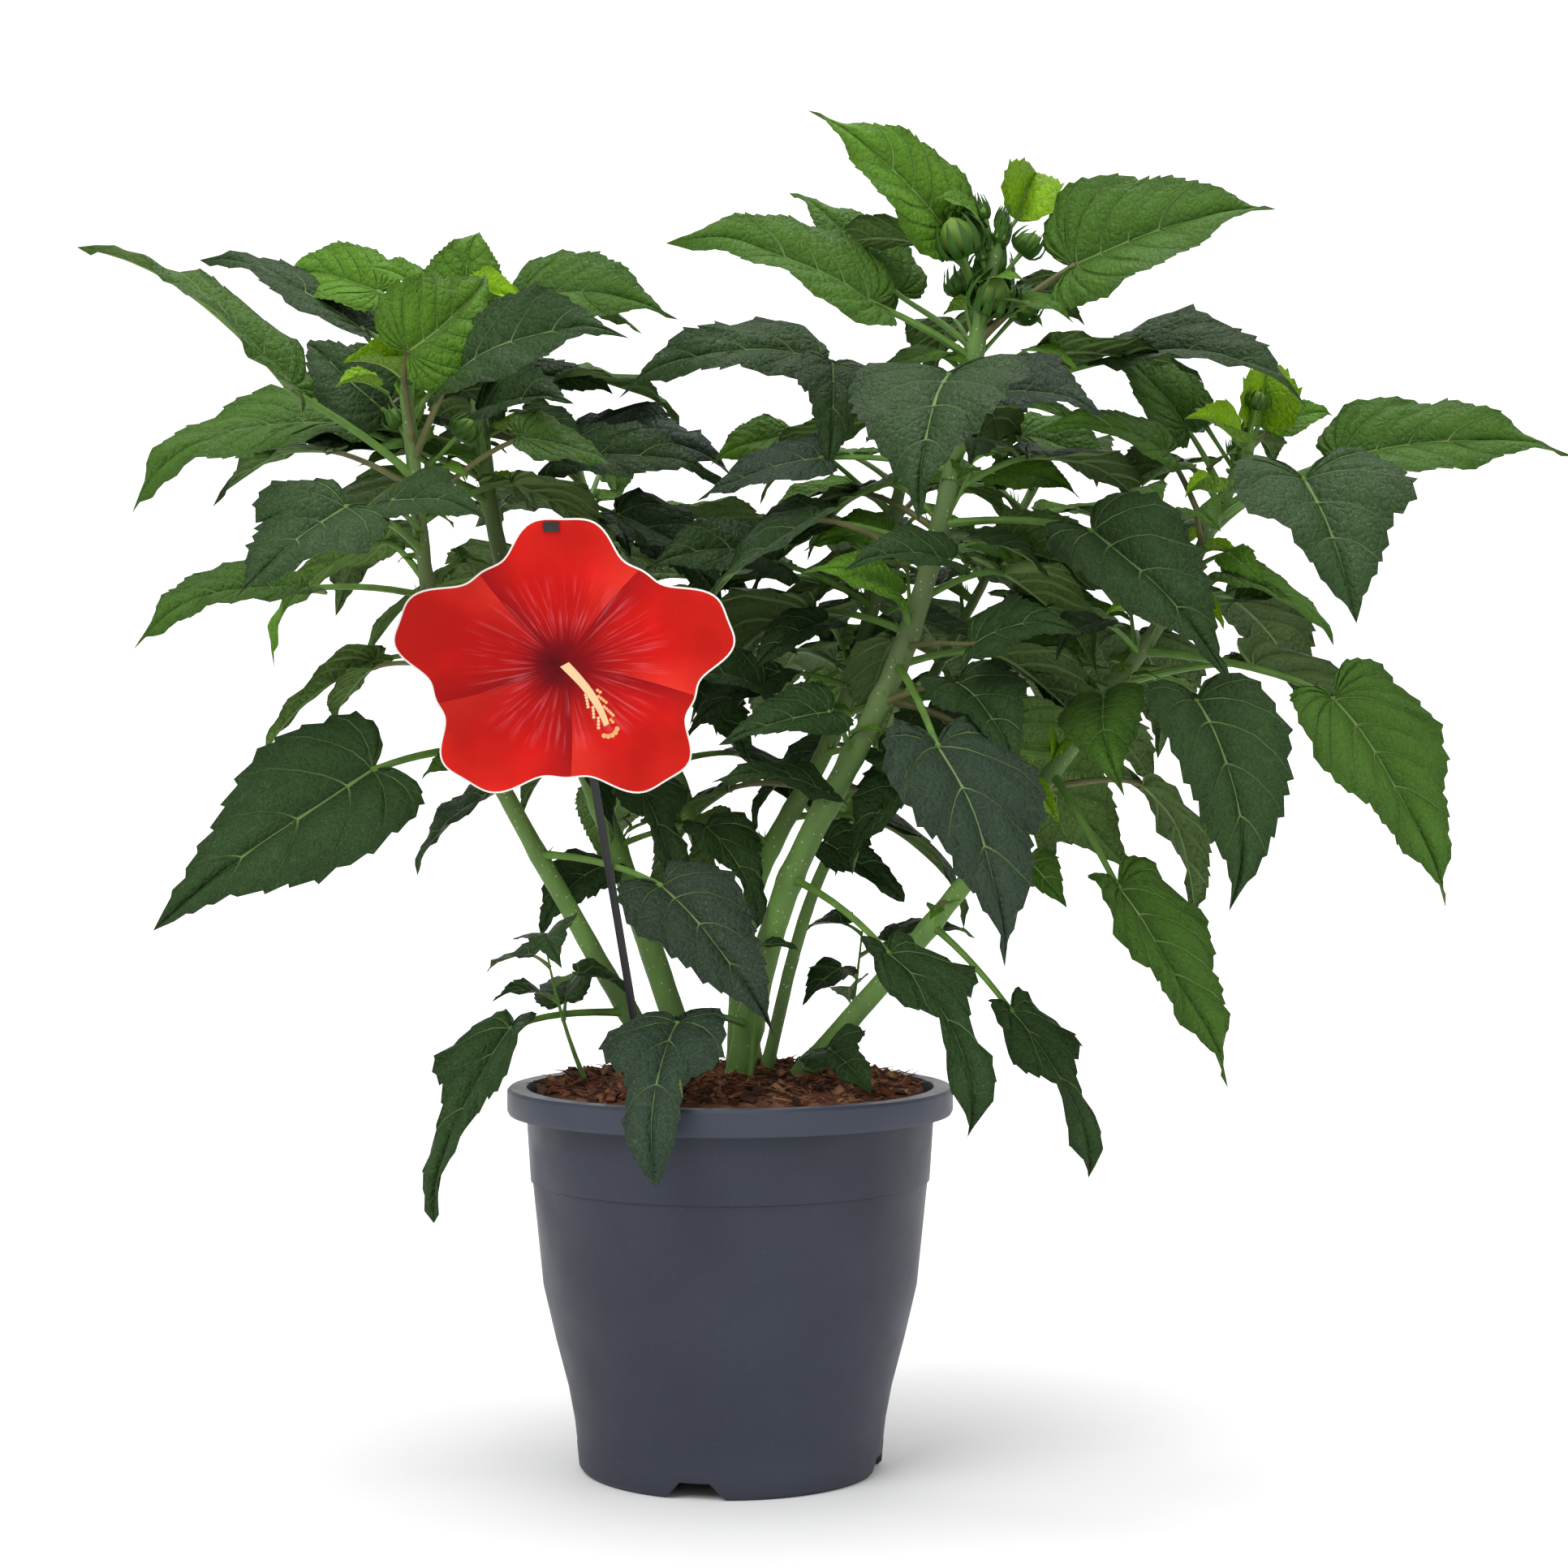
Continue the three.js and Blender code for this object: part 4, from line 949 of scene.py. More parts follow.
class Pattern:
    """A flat leaf of length 1 and width 1 in two layers that meet at the edge, ready to be bent into place.

    Rows of points run from the midrib to the margin, one to each tooth and to each notch between teeth.
    A tooth that a vein runs to has three rows, for the vein's two flanks and its crest.
    """

    PALMATE = 0.3
    FIRST, LAST = 0.13, 0.965

    def __init__(self, outline, teeth, veins, columns, seed, tooth, quilt, contrast, vein_width=0.0036):
        self.edge = Route(spline([(x, y, 0) for x, y in outline]))
        self.columns = np.array(columns)
        # contrast sets how much painted shade darkens the vein furrows against the painted lighter bulges between
        # them.
        self.quilt, self.contrast, self.vein_width = quilt, contrast, vein_width
        draw = seeded(seed)
        rows = [self.row(s, 0) for s in (0.0, 0.045, 0.09)]
        centres = []
        pitch = (self.LAST - self.FIRST) / teeth
        for k in range(teeth):
            notch = self.FIRST + (k + 0.3 * draw() - 0.1) * pitch
            peak = self.FIRST + (k + 0.6 + 0.25 * draw()) * pitch
            bold = 0.4 + 0.9 * math.sin(math.pi * (k + 1.5) / (teeth + 1))
            size = tooth * bold * (0.6 + 0.7 * draw()) * (1.4 if k in veins else 0.85)
            rows.append(self.row(notch, -0.4 * size))
            if k in veins:
                centres.append(len(rows) + 1)
                rows.extend(self.row(peak, 0.6 * size, flank) for flank in (-1, 0, 1))
            else:
                rows.append(self.row(peak, 0.6 * size))
        rows.append(self.row(1.0, 0))
        self.weave(rows, centres)

    def row(self, share, tooth, flank=0):
        """Points from the midrib to the margin: x, y, and their column."""
        before, here, after = self.edge.points(np.clip((share - 0.01, share, share + 0.01), 0, 1))
        ahead = (after - before)[:2]
        ahead = ahead / np.linalg.norm(ahead)
        margin = here[:2] + tooth * np.array((ahead[1], -ahead[0])) + 0.35 * abs(tooth) * ahead
        if share in (0.0, 1.0):
            margin = here[:2]
        start = max(0.0, (here[1] - self.PALMATE) / (1 - self.PALMATE)) ** 1.2
        reach = margin - (0, start)
        c = self.columns[:, None]
        points = np.array((0, start)) + c * reach
        points[:, 1] -= 0.09 * np.linalg.norm(reach) * (4 * c * (1 - c))[:, 0] * (abs(margin[0]) > 0.02)
        square = reach * (0.62, 1)
        across = np.array((-square[1] / 0.62, square[0])) / max(np.linalg.norm(square), 1e-9)
        wide = self.vein_width * (1 - 0.65 * c) * ((c > 0) & (c < 1))
        return points + flank * wide * across

    def weave(self, rows, centres):
        """Joins the rows into the two layers of both halves, and merges what meets."""
        columns, count = len(self.columns), len(rows)
        marks = np.arange(count)
        spots = np.array([0, *centres, count - 1])
        gap = np.clip(np.searchsorted(spots, marks, "right") - 1, 0, len(spots) - 2)
        share = (marks - spots[gap]) / (spots[gap + 1] - spots[gap])
        bulge = np.outer(4 * share * (1 - share), np.clip(4 * self.columns * (1 - self.columns), 0, 1))
        crest = np.isin(marks, centres)[:, None] * (1 - 0.7 * self.columns)[None, :]
        crest[:, 0] = 1.7 - 1.4 * np.array([row[0][1] for row in rows])
        crest[:, -1] = 0
        vein_row = np.isin(marks[:-1], centres) | np.isin(marks[:-1] + 1, centres)
        grids = []
        for side in (1, -1):
            for layer in (1, -1):
                height = np.full((count, columns), float(layer))
                height[:, -1] = 0
                height[-1, :] = 0
                x = side * np.array([row[:, 0] for row in rows])
                y = np.array([row[:, 1] for row in rows])
                column = np.broadcast_to(self.columns, (count, columns))
                grids.append(np.stack((x, y, height, column, bulge, crest), axis=-1).reshape(-1, 6))
        cell = np.array([
            (r * columns + c, r * columns + c + 1, (r + 1) * columns + c + 1, (r + 1) * columns + c)
            for r in range(count - 1) for c in range(columns - 1)
        ])
        vein = np.array([c == 0 or vein_row[r] for r in range(count - 1) for c in range(columns - 1)])
        # Both layers keep the same first corner, so they are split along the same diagonals.
        back = cell[:, (0, 3, 2, 1)]
        size = count * columns
        faces = [cell, back + size, back + 2 * size, cell + 3 * size]
        kinds = [np.where(vein, 2, k % 2) for k in range(4)]
        self.merge(np.vstack(grids), np.vstack(faces), np.concatenate(kinds))

    def merge(self, points, faces, kinds):
        keys = np.round(points[:, :3] * 1e5).astype(int)
        _, first, where = np.unique(keys, axis=0, return_index=True, return_inverse=True)
        self.points = points[first]
        kept, kept_kinds = [], []
        for face, kind in zip(where.reshape(-1)[faces], kinds):
            distinct = [corner for i, corner in enumerate(face) if corner != face[i - 1]]
            if len(set(distinct)) < len(distinct) or len(distinct) < 3:
                continue
            kept.append((*distinct, distinct[-1])[:4])
            kept_kinds.append(kind)
        self.faces, self.kinds = np.array(kept), np.array(kept_kinds)


SIDES = ("upper", "under", "vein")


def leaf_shape(batch, leaf, pattern, settings, draw):
    """Bends a pattern into a leaf's place: droop, fold, quilting between the veins, and a wavy margin, with painted
    shade along the vein furrows and painted light on the bulges.
    """
    x, y, layer, column, bulge, crest = pattern.points.T
    waves, phase, sway = 1.2 + 1.3 * draw(), 2 * math.pi * draw(), 0.8 * draw() - 0.4
    fold, bowed, curl = settings.fold * (0.5 + 1.3 * draw()), 0.1 * draw() - 0.05, 0.1 * draw()
    bend, light = settings.droop * (0.7 + 0.8 * draw()), 0.2 + 0.35 * draw()
    if leaf.tone == LIME:
        fold = fold + math.radians(38)
    along = np.clip(y, 0, 1)
    across = x * leaf.width + leaf.length * bowed * 4 * along * (1 - along)
    edge = column**2
    swell = 2 * math.pi * waves * y + phase + np.where(x > 0, 0, 2.1)
    ripple = (0.042 if leaf.old else 0.027) * np.sin(swell) + 0.012 * np.sin(2.7 * swell)
    pucker = 0.014 * np.sin(9 * x + 2 * phase) * np.sin(8 * y + phase) * 4 * along * (1 - along)
    above = math.tan(fold) * np.abs(x) * leaf.width * (1 - 0.5 * np.abs(x))
    above = above + leaf.length * (ripple * edge + pattern.quilt * bulge + pucker)
    above = above + math.tan(sway) * x * leaf.width * along**1.5
    above = above - leaf.length * curl * np.clip((along - 0.62) / 0.38, 0, 1) ** 2
    depth = min(1.0, leaf.length / 80)
    upper = 0.5 * settings.thickness - crest * settings.groove
    under = -0.5 * settings.thickness - crest * settings.ridge
    skin = np.where(layer > 0, upper, np.where(layer < 0, under, 0)) * depth / MM
    points = drooped(bend, leaf.length, across, y, above + skin)
    # Painted shade: each leaf's random lightness, raised on the quilted bulges and lowered along the veins and margin.
    lights = light + pattern.contrast * bulge
    batch.add(leaf.placed(points), pattern.faces, 3 * leaf.tone + pattern.kinds, lights)


def stalk_shape(batch, leaf, draw):
    """A leaf's stalk, arching from its root to the blade, swollen at both ends."""
    reach = np.linalg.norm(leaf.base - leaf.root)
    along = leaf.axes[:, 1]
    first = leaf.root + 0.4 * (leaf.base - leaf.root) + np.array((0, 0, 0.07 * reach))
    blend = unit(leaf.out + 0.8 * along)
    second = leaf.base - blend * 0.22 * reach
    w = np.linspace(0, 1, 9 if leaf.thin == 1 else 5)[:, None]
    centres = (
        (1 - w) ** 3 * leaf.root + 3 * w * (1 - w) ** 2 * first + 3 * w**2 * (1 - w) * second + w**3 * leaf.base
    )
    sunk = leaf.base + along * 1.2
    centres = np.vstack((centres, sunk))
    share = np.append(w[:, 0], 1.0)
    girth = leaf.thin * (0.65 + 0.006 * leaf.length)
    radii = girth * (mix(1.7, 1.2, share) + 0.5 * np.exp(-(share * reach / 7) ** 2))
    radii = radii + girth * 0.3 * np.exp(-(((1 - share) * reach) / 5) ** 2)
    radii[-1] = 0.5 * leaf.thin
    tube(batch, centres, radii, 8 if leaf.thin == 1 else 5, int(draw() < 0.24))


def stipule_shape(batch, leaf, draw):
    """Two slender points beside a stalk's root."""
    for side in (-1, 1):
        away = np.cross(leaf.out, (0, 0, 1)) * side
        foot = leaf.root + leaf.out * 6
        middle = foot + away * 2 + np.array((0, 0, 2.5))
        tip = foot + away * (3 + 2 * draw()) + leaf.out * 2 + np.array((0, 0, 6 + 3 * draw()))
        tube(batch, (foot, middle, tip), (0.7, 0.5, 0.08), 4, 0)


def bud_shape(batch, bud, bracts, draw):
    """A ribbed egg held in a basket of narrow bracts that bow out round it and end in free points."""
    sides = 20
    turns = np.arange(sides) * 2 * math.pi / sides
    ribs = 1 + 0.07 * np.cos(5 * turns)
    profile = ((0.12, -0.02), (0.28, 0.06), (0.4, 0.22), (0.42, 0.42), (0.35, 0.65), (0.19, 0.82), (0.05, 0.89))
    flushed = 2 if draw() < 0.16 and not bud.young else 0
    size = bud.width * (0.8 if bud.young else BUD_FULLNESS)
    rings = [
        np.stack((half * ribs * np.cos(turns), np.full(sides, high), half * ribs * np.sin(turns)), axis=-1)
        for half, high in profile
    ]
    poles = np.array(((0, -0.05, 0), (0, 0.92, 0)))
    points = np.vstack((*rings, poles)) * size + (0, bud.stalk, 0)
    faces, paints = [], []
    for k in range(len(rings) - 1):
        for i in range(sides):
            j = (i + 1) % sides
            faces.append((k * sides + j, k * sides + i, (k + 1) * sides + i, (k + 1) * sides + j))
            paints.append(flushed if k >= 4 else 0)
    foot, top = sides * len(rings), sides * len(rings) + 1
    for i in range(sides):
        j = (i + 1) % sides
        faces.append((foot, i, j, j))
        faces.append((top, foot - sides + j, foot - sides + i, foot - sides + i))
        paints.extend((0, flushed))
    batch.add(bud.placed(points), faces, np.array(paints))
    for i in range(bracts):
        turn = 2 * math.pi * (i + 0.3 * draw()) / bracts
        reach, lean = 0.84 + 0.2 * draw(), 0.12 * draw() - 0.02
        path = ((0.1, -0.06), (0.36, -0.03), (0.56, 0.11), (0.63 + lean, 0.32), (0.61 + lean, 0.56),
                (0.52 + lean, reach - 0.12), (0.4 + lean, reach + 0.05))
        if bud.young:
            path = [(0.62 * half, 1.5 * high) for half, high in path]
        halves = (0.06, 0.11, 0.125, 0.11, 0.08, 0.045, 0.006)
        outward = np.array((math.cos(turn), 0, math.sin(turn)))
        aside = np.array((-math.sin(turn), 0, math.cos(turn)))
        points = []
        for (half, high), wide in zip(path, halves):
            middle = outward * half + (0, high, 0)
            thick = outward * 0.4 * wide
            points.extend((middle - aside * wide, middle + thick, middle + aside * wide, middle - thick))
        faces = [
            (4 * k + j, 4 * k + (j + 1) % 4, 4 * k + 4 + (j + 1) % 4, 4 * k + 4 + j)
            for k in range(len(path) - 1) for j in range(4)
        ]
        last = 4 * (len(path) - 1)
        faces.extend(((3, 2, 1, 0), (last, last + 1, last + 2, last + 3)))
        points = np.array(points) * size + (0, bud.stalk, 0)
        batch.add(bud.placed(points), faces, 1)


# ---------- pieces made by hand ----------

def deselect():
    bpy.ops.object.select_all(action="DESELECT")


def edit():
    bpy.ops.object.mode_set(mode="EDIT")


def leave():
    bpy.ops.object.mode_set(mode="OBJECT")


def named(name):
    """The object just added, under its own name."""
    piece = bpy.context.object
    piece.name = name
    piece.data.name = name
    return piece


def only(piece):
    """Makes one piece the only one selected."""
    deselect()
    piece.select_set(True)
    bpy.context.view_layer.objects.active = piece


def smooth(piece, angle=math.radians(30)):
    only(piece)
    bpy.ops.object.shade_smooth_by_angle(angle=angle)


def settle(piece):
    """Moves a piece's place into its mesh."""
    only(piece)
    bpy.ops.object.transform_apply(location=True, rotation=True, scale=True)


def modify(piece, kind, **settings):
    """Adds a modifier and applies it."""
    only(piece)
    modifier = piece.modifiers.new(kind.title(), kind)
    for key, value in settings.items():
        setattr(modifier, key, value)
    bpy.ops.object.modifier_apply(modifier=modifier.name)


def select_where(piece, test):
    """In edit mode, selects the vertices whose place passes a test, and only those."""
    bpy.ops.mesh.select_all(action="DESELECT")
    leave()
    for vertex in piece.data.vertices:
        vertex.select = bool(test(vertex.co))
    edit()


def select_faces(piece, test):
    """In edit mode, selects the faces that pass a test, and only those."""
    bpy.ops.mesh.select_mode(type="FACE")
    bpy.ops.mesh.select_all(action="DESELECT")
    leave()
    for face in piece.data.polygons:
        face.select = bool(test(face))
    edit()


def turned(name, profile, sides):
    """A round body raised ring by ring through a profile of (radius, height) in mm, closed at both ends."""
    deselect()
    radius, height = profile[0]
    bpy.ops.mesh.primitive_circle_add(vertices=sides, radius=radius * MM, location=(0, 0, 0))
    piece = named(name)
    edit()
    bpy.ops.mesh.select_all(action="SELECT")
    bpy.ops.transform.translate(value=(0, 0, height * MM))
    for next_radius, next_height in profile[1:]:
        bpy.ops.mesh.extrude_region_move(TRANSFORM_OT_translate={"value": (0, 0, (next_height - height) * MM)})
        scale = next_radius / radius
        bpy.ops.transform.resize(value=(scale, scale, 1))
        radius, height = next_radius, next_height
    bpy.ops.mesh.edge_face_add()
    bpy.ops.mesh.poke()
    first_radius, first_height = (value * MM for value in profile[0])
    close = 1e-5
    select_where(piece, lambda p: abs(p.z - first_height) < close and abs(p.xy.length - first_radius) < close)
    bpy.ops.mesh.edge_face_add()
    bpy.ops.mesh.poke()
    bpy.ops.mesh.select_all(action="SELECT")
    bpy.ops.mesh.normals_make_consistent(inside=False)
    leave()
    return piece


def cut(piece, cutters):
    """Cuts each cutter out of a piece and removes it."""
    for cutter in cutters:
        modify(piece, "BOOLEAN", object=cutter, operation="DIFFERENCE", solver="EXACT")
        bpy.data.objects.remove(cutter)


def pot_notches():
    """Wedges that cut the drainage notches in the foot ring."""
    wedges = []
    for i in range(NOTCH["count"]):
        turn = math.radians(NOTCH["turn"] + 360 * i / NOTCH["count"])
        deselect()
        bpy.ops.mesh.primitive_cube_add(size=1, location=(0, 0, 0))
        wedge = named(f"notch_{i}")
        edit()
        bpy.ops.mesh.select_all(action="SELECT")
        bpy.ops.transform.resize(value=(22 * MM, NOTCH["bottom"] * MM, (NOTCH["height"] + 1) * MM))
        ring = (POT["foot_radius"] - 3) * MM
        bpy.ops.transform.translate(value=(ring, 0, (NOTCH["height"] - 1) / 2 * MM))
        select_where(wedge, lambda p: p.z > 0.5 * NOTCH["height"] * MM)
        bpy.ops.transform.resize(value=(1, NOTCH["top"] / NOTCH["bottom"], 1))
        leave()
        wedge.rotation_euler.z = turn
        settle(wedge)
        wedges.append(wedge)
    return wedges


def pot_drains():
    """Rods that cut the drain holes in the floor."""
    rods = []
    for i in range(DRAIN["count"]):
        turn = 2 * math.pi * (i + 0.5) / DRAIN["count"]
        place = (DRAIN["ring"] * math.cos(turn) * MM, DRAIN["ring"] * math.sin(turn) * MM, 0.01)
        deselect()
        bpy.ops.mesh.primitive_cylinder_add(vertices=24, radius=DRAIN["radius"] * MM, depth=0.03, location=place)
        rod = named(f"drain_{i}")
        settle(rod)
        rods.append(rod)
    return rods


def make_pot(settings):
    p = POT
    band = p["height"] - p["rim_band"]
    recess = p["floor_height"] - p["wall"]
    inner = [(radius - p["wall"], height) for radius, height in reversed(POT_SIDE)]
    profile = (
        (p["pad_radius"], 0),
        (p["pad_radius"] + 4, recess),
        (p["foot_radius"] - 11, recess),
        (p["foot_radius"] - 6, 0),
        (p["foot_radius"] - 2, 0),
        (p["foot_radius"], 2.5),
        (p["foot_radius"] + 1.1, 14),
        (p["foot_radius"] + 0.9, 14.5),
        *POT_SIDE,
        (106.25, 154.3),
        (107.4, 154.8),
        (p["neck_radius"], band),
        (p["rim_radius"] - 1, band),
        (p["rim_radius"], band + 2),
        (p["rim_radius"], p["height"] - 1.5),
        (p["rim_radius"] - 1.5, p["height"]),
        (p["neck_radius"], p["height"]),
        (p["neck_radius"] - p["wall"], band),
        *inner,
        (p["foot_radius"] - p["wall"], p["floor_height"]),
        (30, p["floor_height"]),
    )
    pot = turned("pot_shell", profile, settings.sides)
    cut(pot, pot_notches() + pot_drains())
    modify(pot, "BEVEL", width=settings.edge, segments=2, limit_method="ANGLE", angle_limit=math.radians(40))
    smooth(pot)
    pot.data.materials.append(pot_material(settings.plastic))
    return pot


def lumpy(piece, group, size, height):
    """Raises and lowers a group of vertices by soft noise."""
    texture = bpy.data.textures.new(f"lumps_{int(size / MM)}", "CLOUDS")
    texture.noise_scale = size
    texture.noise_depth = 2
    modify(piece, "DISPLACE", texture=texture, strength=height, mid_level=0.5, vertex_group=group,
           direction="Z", texture_coords="LOCAL")


def make_soil(settings):
    inset = POT["wall"] + 0.4
    rings = 30
    edge = POT["neck_radius"] - inset
    brim, crest = SOIL["edge"] + SOIL["rise"], SOIL["middle"] + SOIL["heap"]
    top = [
        (edge * (1 - (k + 1) / (rings + 1)), mix(brim, crest, min(1, 2.2 * (k + 1) / rings) ** 0.7))
        for k in range(rings)
    ]
    profile = (
        (POT["foot_radius"] - inset, POT["floor_height"] + GAP),
        *((radius - inset, height) for radius, height in POT_SIDE),
        (edge, 188.5),
        (edge, SOIL["edge"] - 3),
        *top,
    )
    soil = turned("soil_bed", profile, 128)
    group = soil.vertex_groups.new(name="top")
    top_height = (SOIL["edge"] - 1) * MM
    group.add([v.index for v in soil.data.vertices if v.co.z > top_height], 1.0, "REPLACE")
    lumpy(soil, "top", 0.022, settings.lump)
    lumpy(soil, "top", 0.006, 0.5 * settings.lump)
    smooth(soil, math.radians(60))
    soil.data.materials.append(soil_material("coir", settings.earth, 0.55))
    return soil


def make_litter(settings, soil):
    """Coir fibres and bark chips strewn over the soil."""
    rng = np.random.default_rng(8)
    batch = Batch()
    edge = POT["neck_radius"] - POT["wall"] - 6

    def spot():
        away, turn = edge * math.sqrt(rng.random()), 2 * math.pi * rng.random()
        x, y = away * math.cos(turn), away * math.sin(turn)
        hit, place, _, _ = soil.ray_cast(Vector((x * MM, y * MM, 0.3)), Vector((0, 0, -1)))
        if not hit:
            raise RuntimeError("the soil has a hole in it")
        return np.array(place) / MM

    for _ in range(settings.fibres):
        foot = spot()
        heading, rise, long = 360 * rng.random(), rng.uniform(-4, 24), rng.uniform(5, 19)
        middle = foot + direction(heading, rise) * long / 2
        tip = middle + direction(heading + rng.uniform(-60, 60), rise - rng.uniform(0, 40)) * long / 2
        radius = rng.uniform(0.16, 0.5)
        tube(batch, (foot, middle, tip), (radius, radius, 0.3 * radius), 3, rng.integers(0, 3))
    cube = np.array([(x, y, z) for x in (-1, 1) for y in (-1, 1) for z in (-1, 1)], float)
    faces = ((0, 1, 3, 2), (4, 6, 7, 5), (0, 4, 5, 1), (2, 3, 7, 6), (0, 2, 6, 4), (1, 5, 7, 3))
    for _ in range(settings.chips):
        size = rng.uniform(0.7, 3.2) * np.array((1.7, 1.0, 0.55))
        corner = cube * size * rng.uniform(0.6, 1.1, (8, 3))
        axes = aimed(360 * rng.random(), rng.uniform(-35, 35), rng.uniform(-50, 50))
        batch.add(spot() + corner @ axes.T, faces, rng.integers(0, 3))
    earth = settings.earth
    materials = [
        soil_material("coir_dark", shade(earth, 0.38), 0.4),
        soil_material("coir_red", between(earth, paint(112, 62, 42), 0.7), 0.45),
        soil_material("coir_pale", between(earth, paint(154, 112, 80), 0.7), 0.45),
    ]
    return batch.build("soil_litter", materials)


def label_place(points):
    """Points of the label's own frame (x right, y back, z up the lean), in mm, as places in metres."""
    lean = math.radians(STAKE["lean"])
    turn = np.array(((1, 0, 0), (0, math.cos(lean), -math.sin(lean)), (0, math.sin(lean), math.cos(lean))))
    return (np.asarray(points, float) @ turn.T + STAKE["foot"]) * MM


def seat_label(piece):
    """Moves a piece from the label's own frame, in metres, to its place."""
    piece.rotation_euler.x = math.radians(STAKE["lean"])
    piece.location = Vector(STAKE["foot"]) * MM
    settle(piece)


def stake_at(rise):
    return -rise * math.tan(math.radians(STAKE["tilt"]))


SLOT_RISE = STAKE["long"] - SLOT[1]
CARD_MIDDLE = SLOT_RISE - 0.5 * CARD["height"] + SLOT[1] + 2
CARD_BACK = -STAKE["thick"] / 2 - GAP
CARD_ASIDE = stake_at(CARD_MIDDLE) + CARD["aside"]


def make_card(settings):
    """A disc drawn out into five petals, with a border inset on its front, given a thickness and a slot."""
    deselect()
    bpy.ops.mesh.primitive_circle_add(vertices=settings.points, radius=1, fill_type="NGON")
    card = named("card_print")
    reach = 1 + CARD["lobe"]
    for vertex in card.data.vertices:
        turn = math.atan2(-vertex.co.x, vertex.co.y)
        petal = CARD["lobe"] * math.cos(CARD["petals"] * turn) - CARD["ripple"] * math.cos(3 * CARD["petals"] * turn)
        out = (1 + petal) / (2 * reach)
        x, z = -CARD["width"] * out * math.sin(turn), CARD["height"] * out * math.cos(turn)
        vertex.co = Vector((x + CARD_ASIDE, CARD_BACK - CARD["thick"], z + CARD_MIDDLE)) * MM
    edit()
    bpy.ops.mesh.select_all(action="SELECT")
    bpy.ops.mesh.inset(thickness=settings.border, use_even_offset=True)
    leave()
    border, print_, back = 0, 1, 0
    largest = max(card.data.polygons, key=lambda face: len(face.vertices))
    for face in card.data.polygons:
        face.material_index = print_ if face == largest else border
    edit()
    bpy.ops.mesh.select_all(action="SELECT")
    bpy.ops.mesh.normals_make_consistent(inside=False)
    leave()
    if card.data.polygons[0].normal.y > 0:
        edit()
        bpy.ops.mesh.select_all(action="SELECT")
        bpy.ops.mesh.flip_normals()
        leave()
    modify(card, "SOLIDIFY", thickness=CARD["thick"] * MM, offset=-1, use_rim=True, material_offset_rim=0)
    deselect()
    bpy.ops.mesh.primitive_cube_add(size=1, location=(stake_at(SLOT_RISE) * MM, CARD_BACK * MM, SLOT_RISE * MM))
    slot = named("card_slot")
    slot.scale = (SLOT[0] * MM, 0.01, SLOT[1] * MM)
    settle(slot)
    cut(card, [slot])
    smooth(card)
    seat_label(card)
    centre = label_place((CARD_ASIDE, CARD_BACK - CARD["thick"], CARD_MIDDLE))
    size = (CARD["width"] * MM, CARD["height"] * MM)
    card.data.materials.append(plain_plastic("card_white", paint(236, 232, 228), 0.35))
    card.data.materials.append(card_material(settings, tuple(centre), size))
    return card


def make_stamen(settings):
    """The printed flower's pale column with its ring of small dots, a hair proud of the card."""
    front = CARD_BACK - CARD["thick"] - 0.05
    batch = Batch()
    turn = math.radians(28)
    ahead = np.array((math.sin(turn), 0, -math.cos(turn)))
    aside = np.array((math.cos(turn), 0, math.sin(turn)))
    middle = np.array((CARD_ASIDE, front, CARD_MIDDLE))
    shares = np.linspace(0, 1, 9)
    spine = [middle + ahead * 38 * w + aside * 5 * math.sin(2.2 * w) for w in shares]
    flat_strip(batch, spine, aside, mix(2.6, 1.5, shares), 0)
    for i in range(26):
        along = 0.5 + 0.5 * i / 25
        away = (2.4 + 2.6 * ((0.618 * i) % 1)) * (1 if i % 2 else -1)
        disc(batch, middle + ahead * 38 * along + aside * (5 * math.sin(2.2 * along) + away), 0.85, i % 2)
    for i in range(5):
        tilt = math.radians(-50 + 25 * i)
        spread = ahead * math.cos(tilt) + aside * math.sin(tilt)
        disc(batch, middle + ahead * 39 + aside * 4 + spread * 5, 1.3, 1)
    piece = batch.build("card_stamen", [
        plain_plastic("stamen_cream", settings.stamen, 0.32),
        plain_plastic("stamen_gold", between(settings.stamen, paint(236, 160, 60), 0.6), 0.32),
    ])
    seat_label(piece)
    return piece


def flat_strip(batch, spine, aside, halves, material):
    """A thin closed strip along a spine in the card's plane."""
    back = np.array((0, 0.05, 0))
    rings = [
        (centre - aside * half - back, centre + aside * half - back, centre + aside * half + back,
         centre - aside * half + back)
        for centre, half in zip(spine, halves)
    ]
    faces = []
    for k in range(len(rings) - 1):
        faces.extend((4 * k + i, 4 * k + (i + 1) % 4, 4 * k + 4 + (i + 1) % 4, 4 * k + 4 + i) for i in range(4))
    last = 4 * (len(rings) - 1)
    faces.extend(((3, 2, 1, 0), (last, last + 1, last + 2, last + 3)))
    batch.add(np.vstack(rings), np.array(faces)[:, ::-1], material)


def disc(batch, centre, radius, material, sides=12):
    """A thin closed disc in the card's plane."""
    turns = np.arange(sides) * 2 * math.pi / sides
    ring = np.stack((np.cos(turns), np.zeros(sides), np.sin(turns)), axis=-1) * radius
    lift = np.array((0, 0.05, 0))
    points = np.vstack((centre + ring - lift, centre + ring + lift, centre - lift, centre + lift))
    faces = []
    for i in range(sides):
        j = (i + 1) % sides
        faces.append((i, sides + i, sides + j, j))
        faces.append((2 * sides, i, j, j))
        faces.append((2 * sides + 1, sides + j, sides + i, sides + i))
    batch.add(points, faces, material)


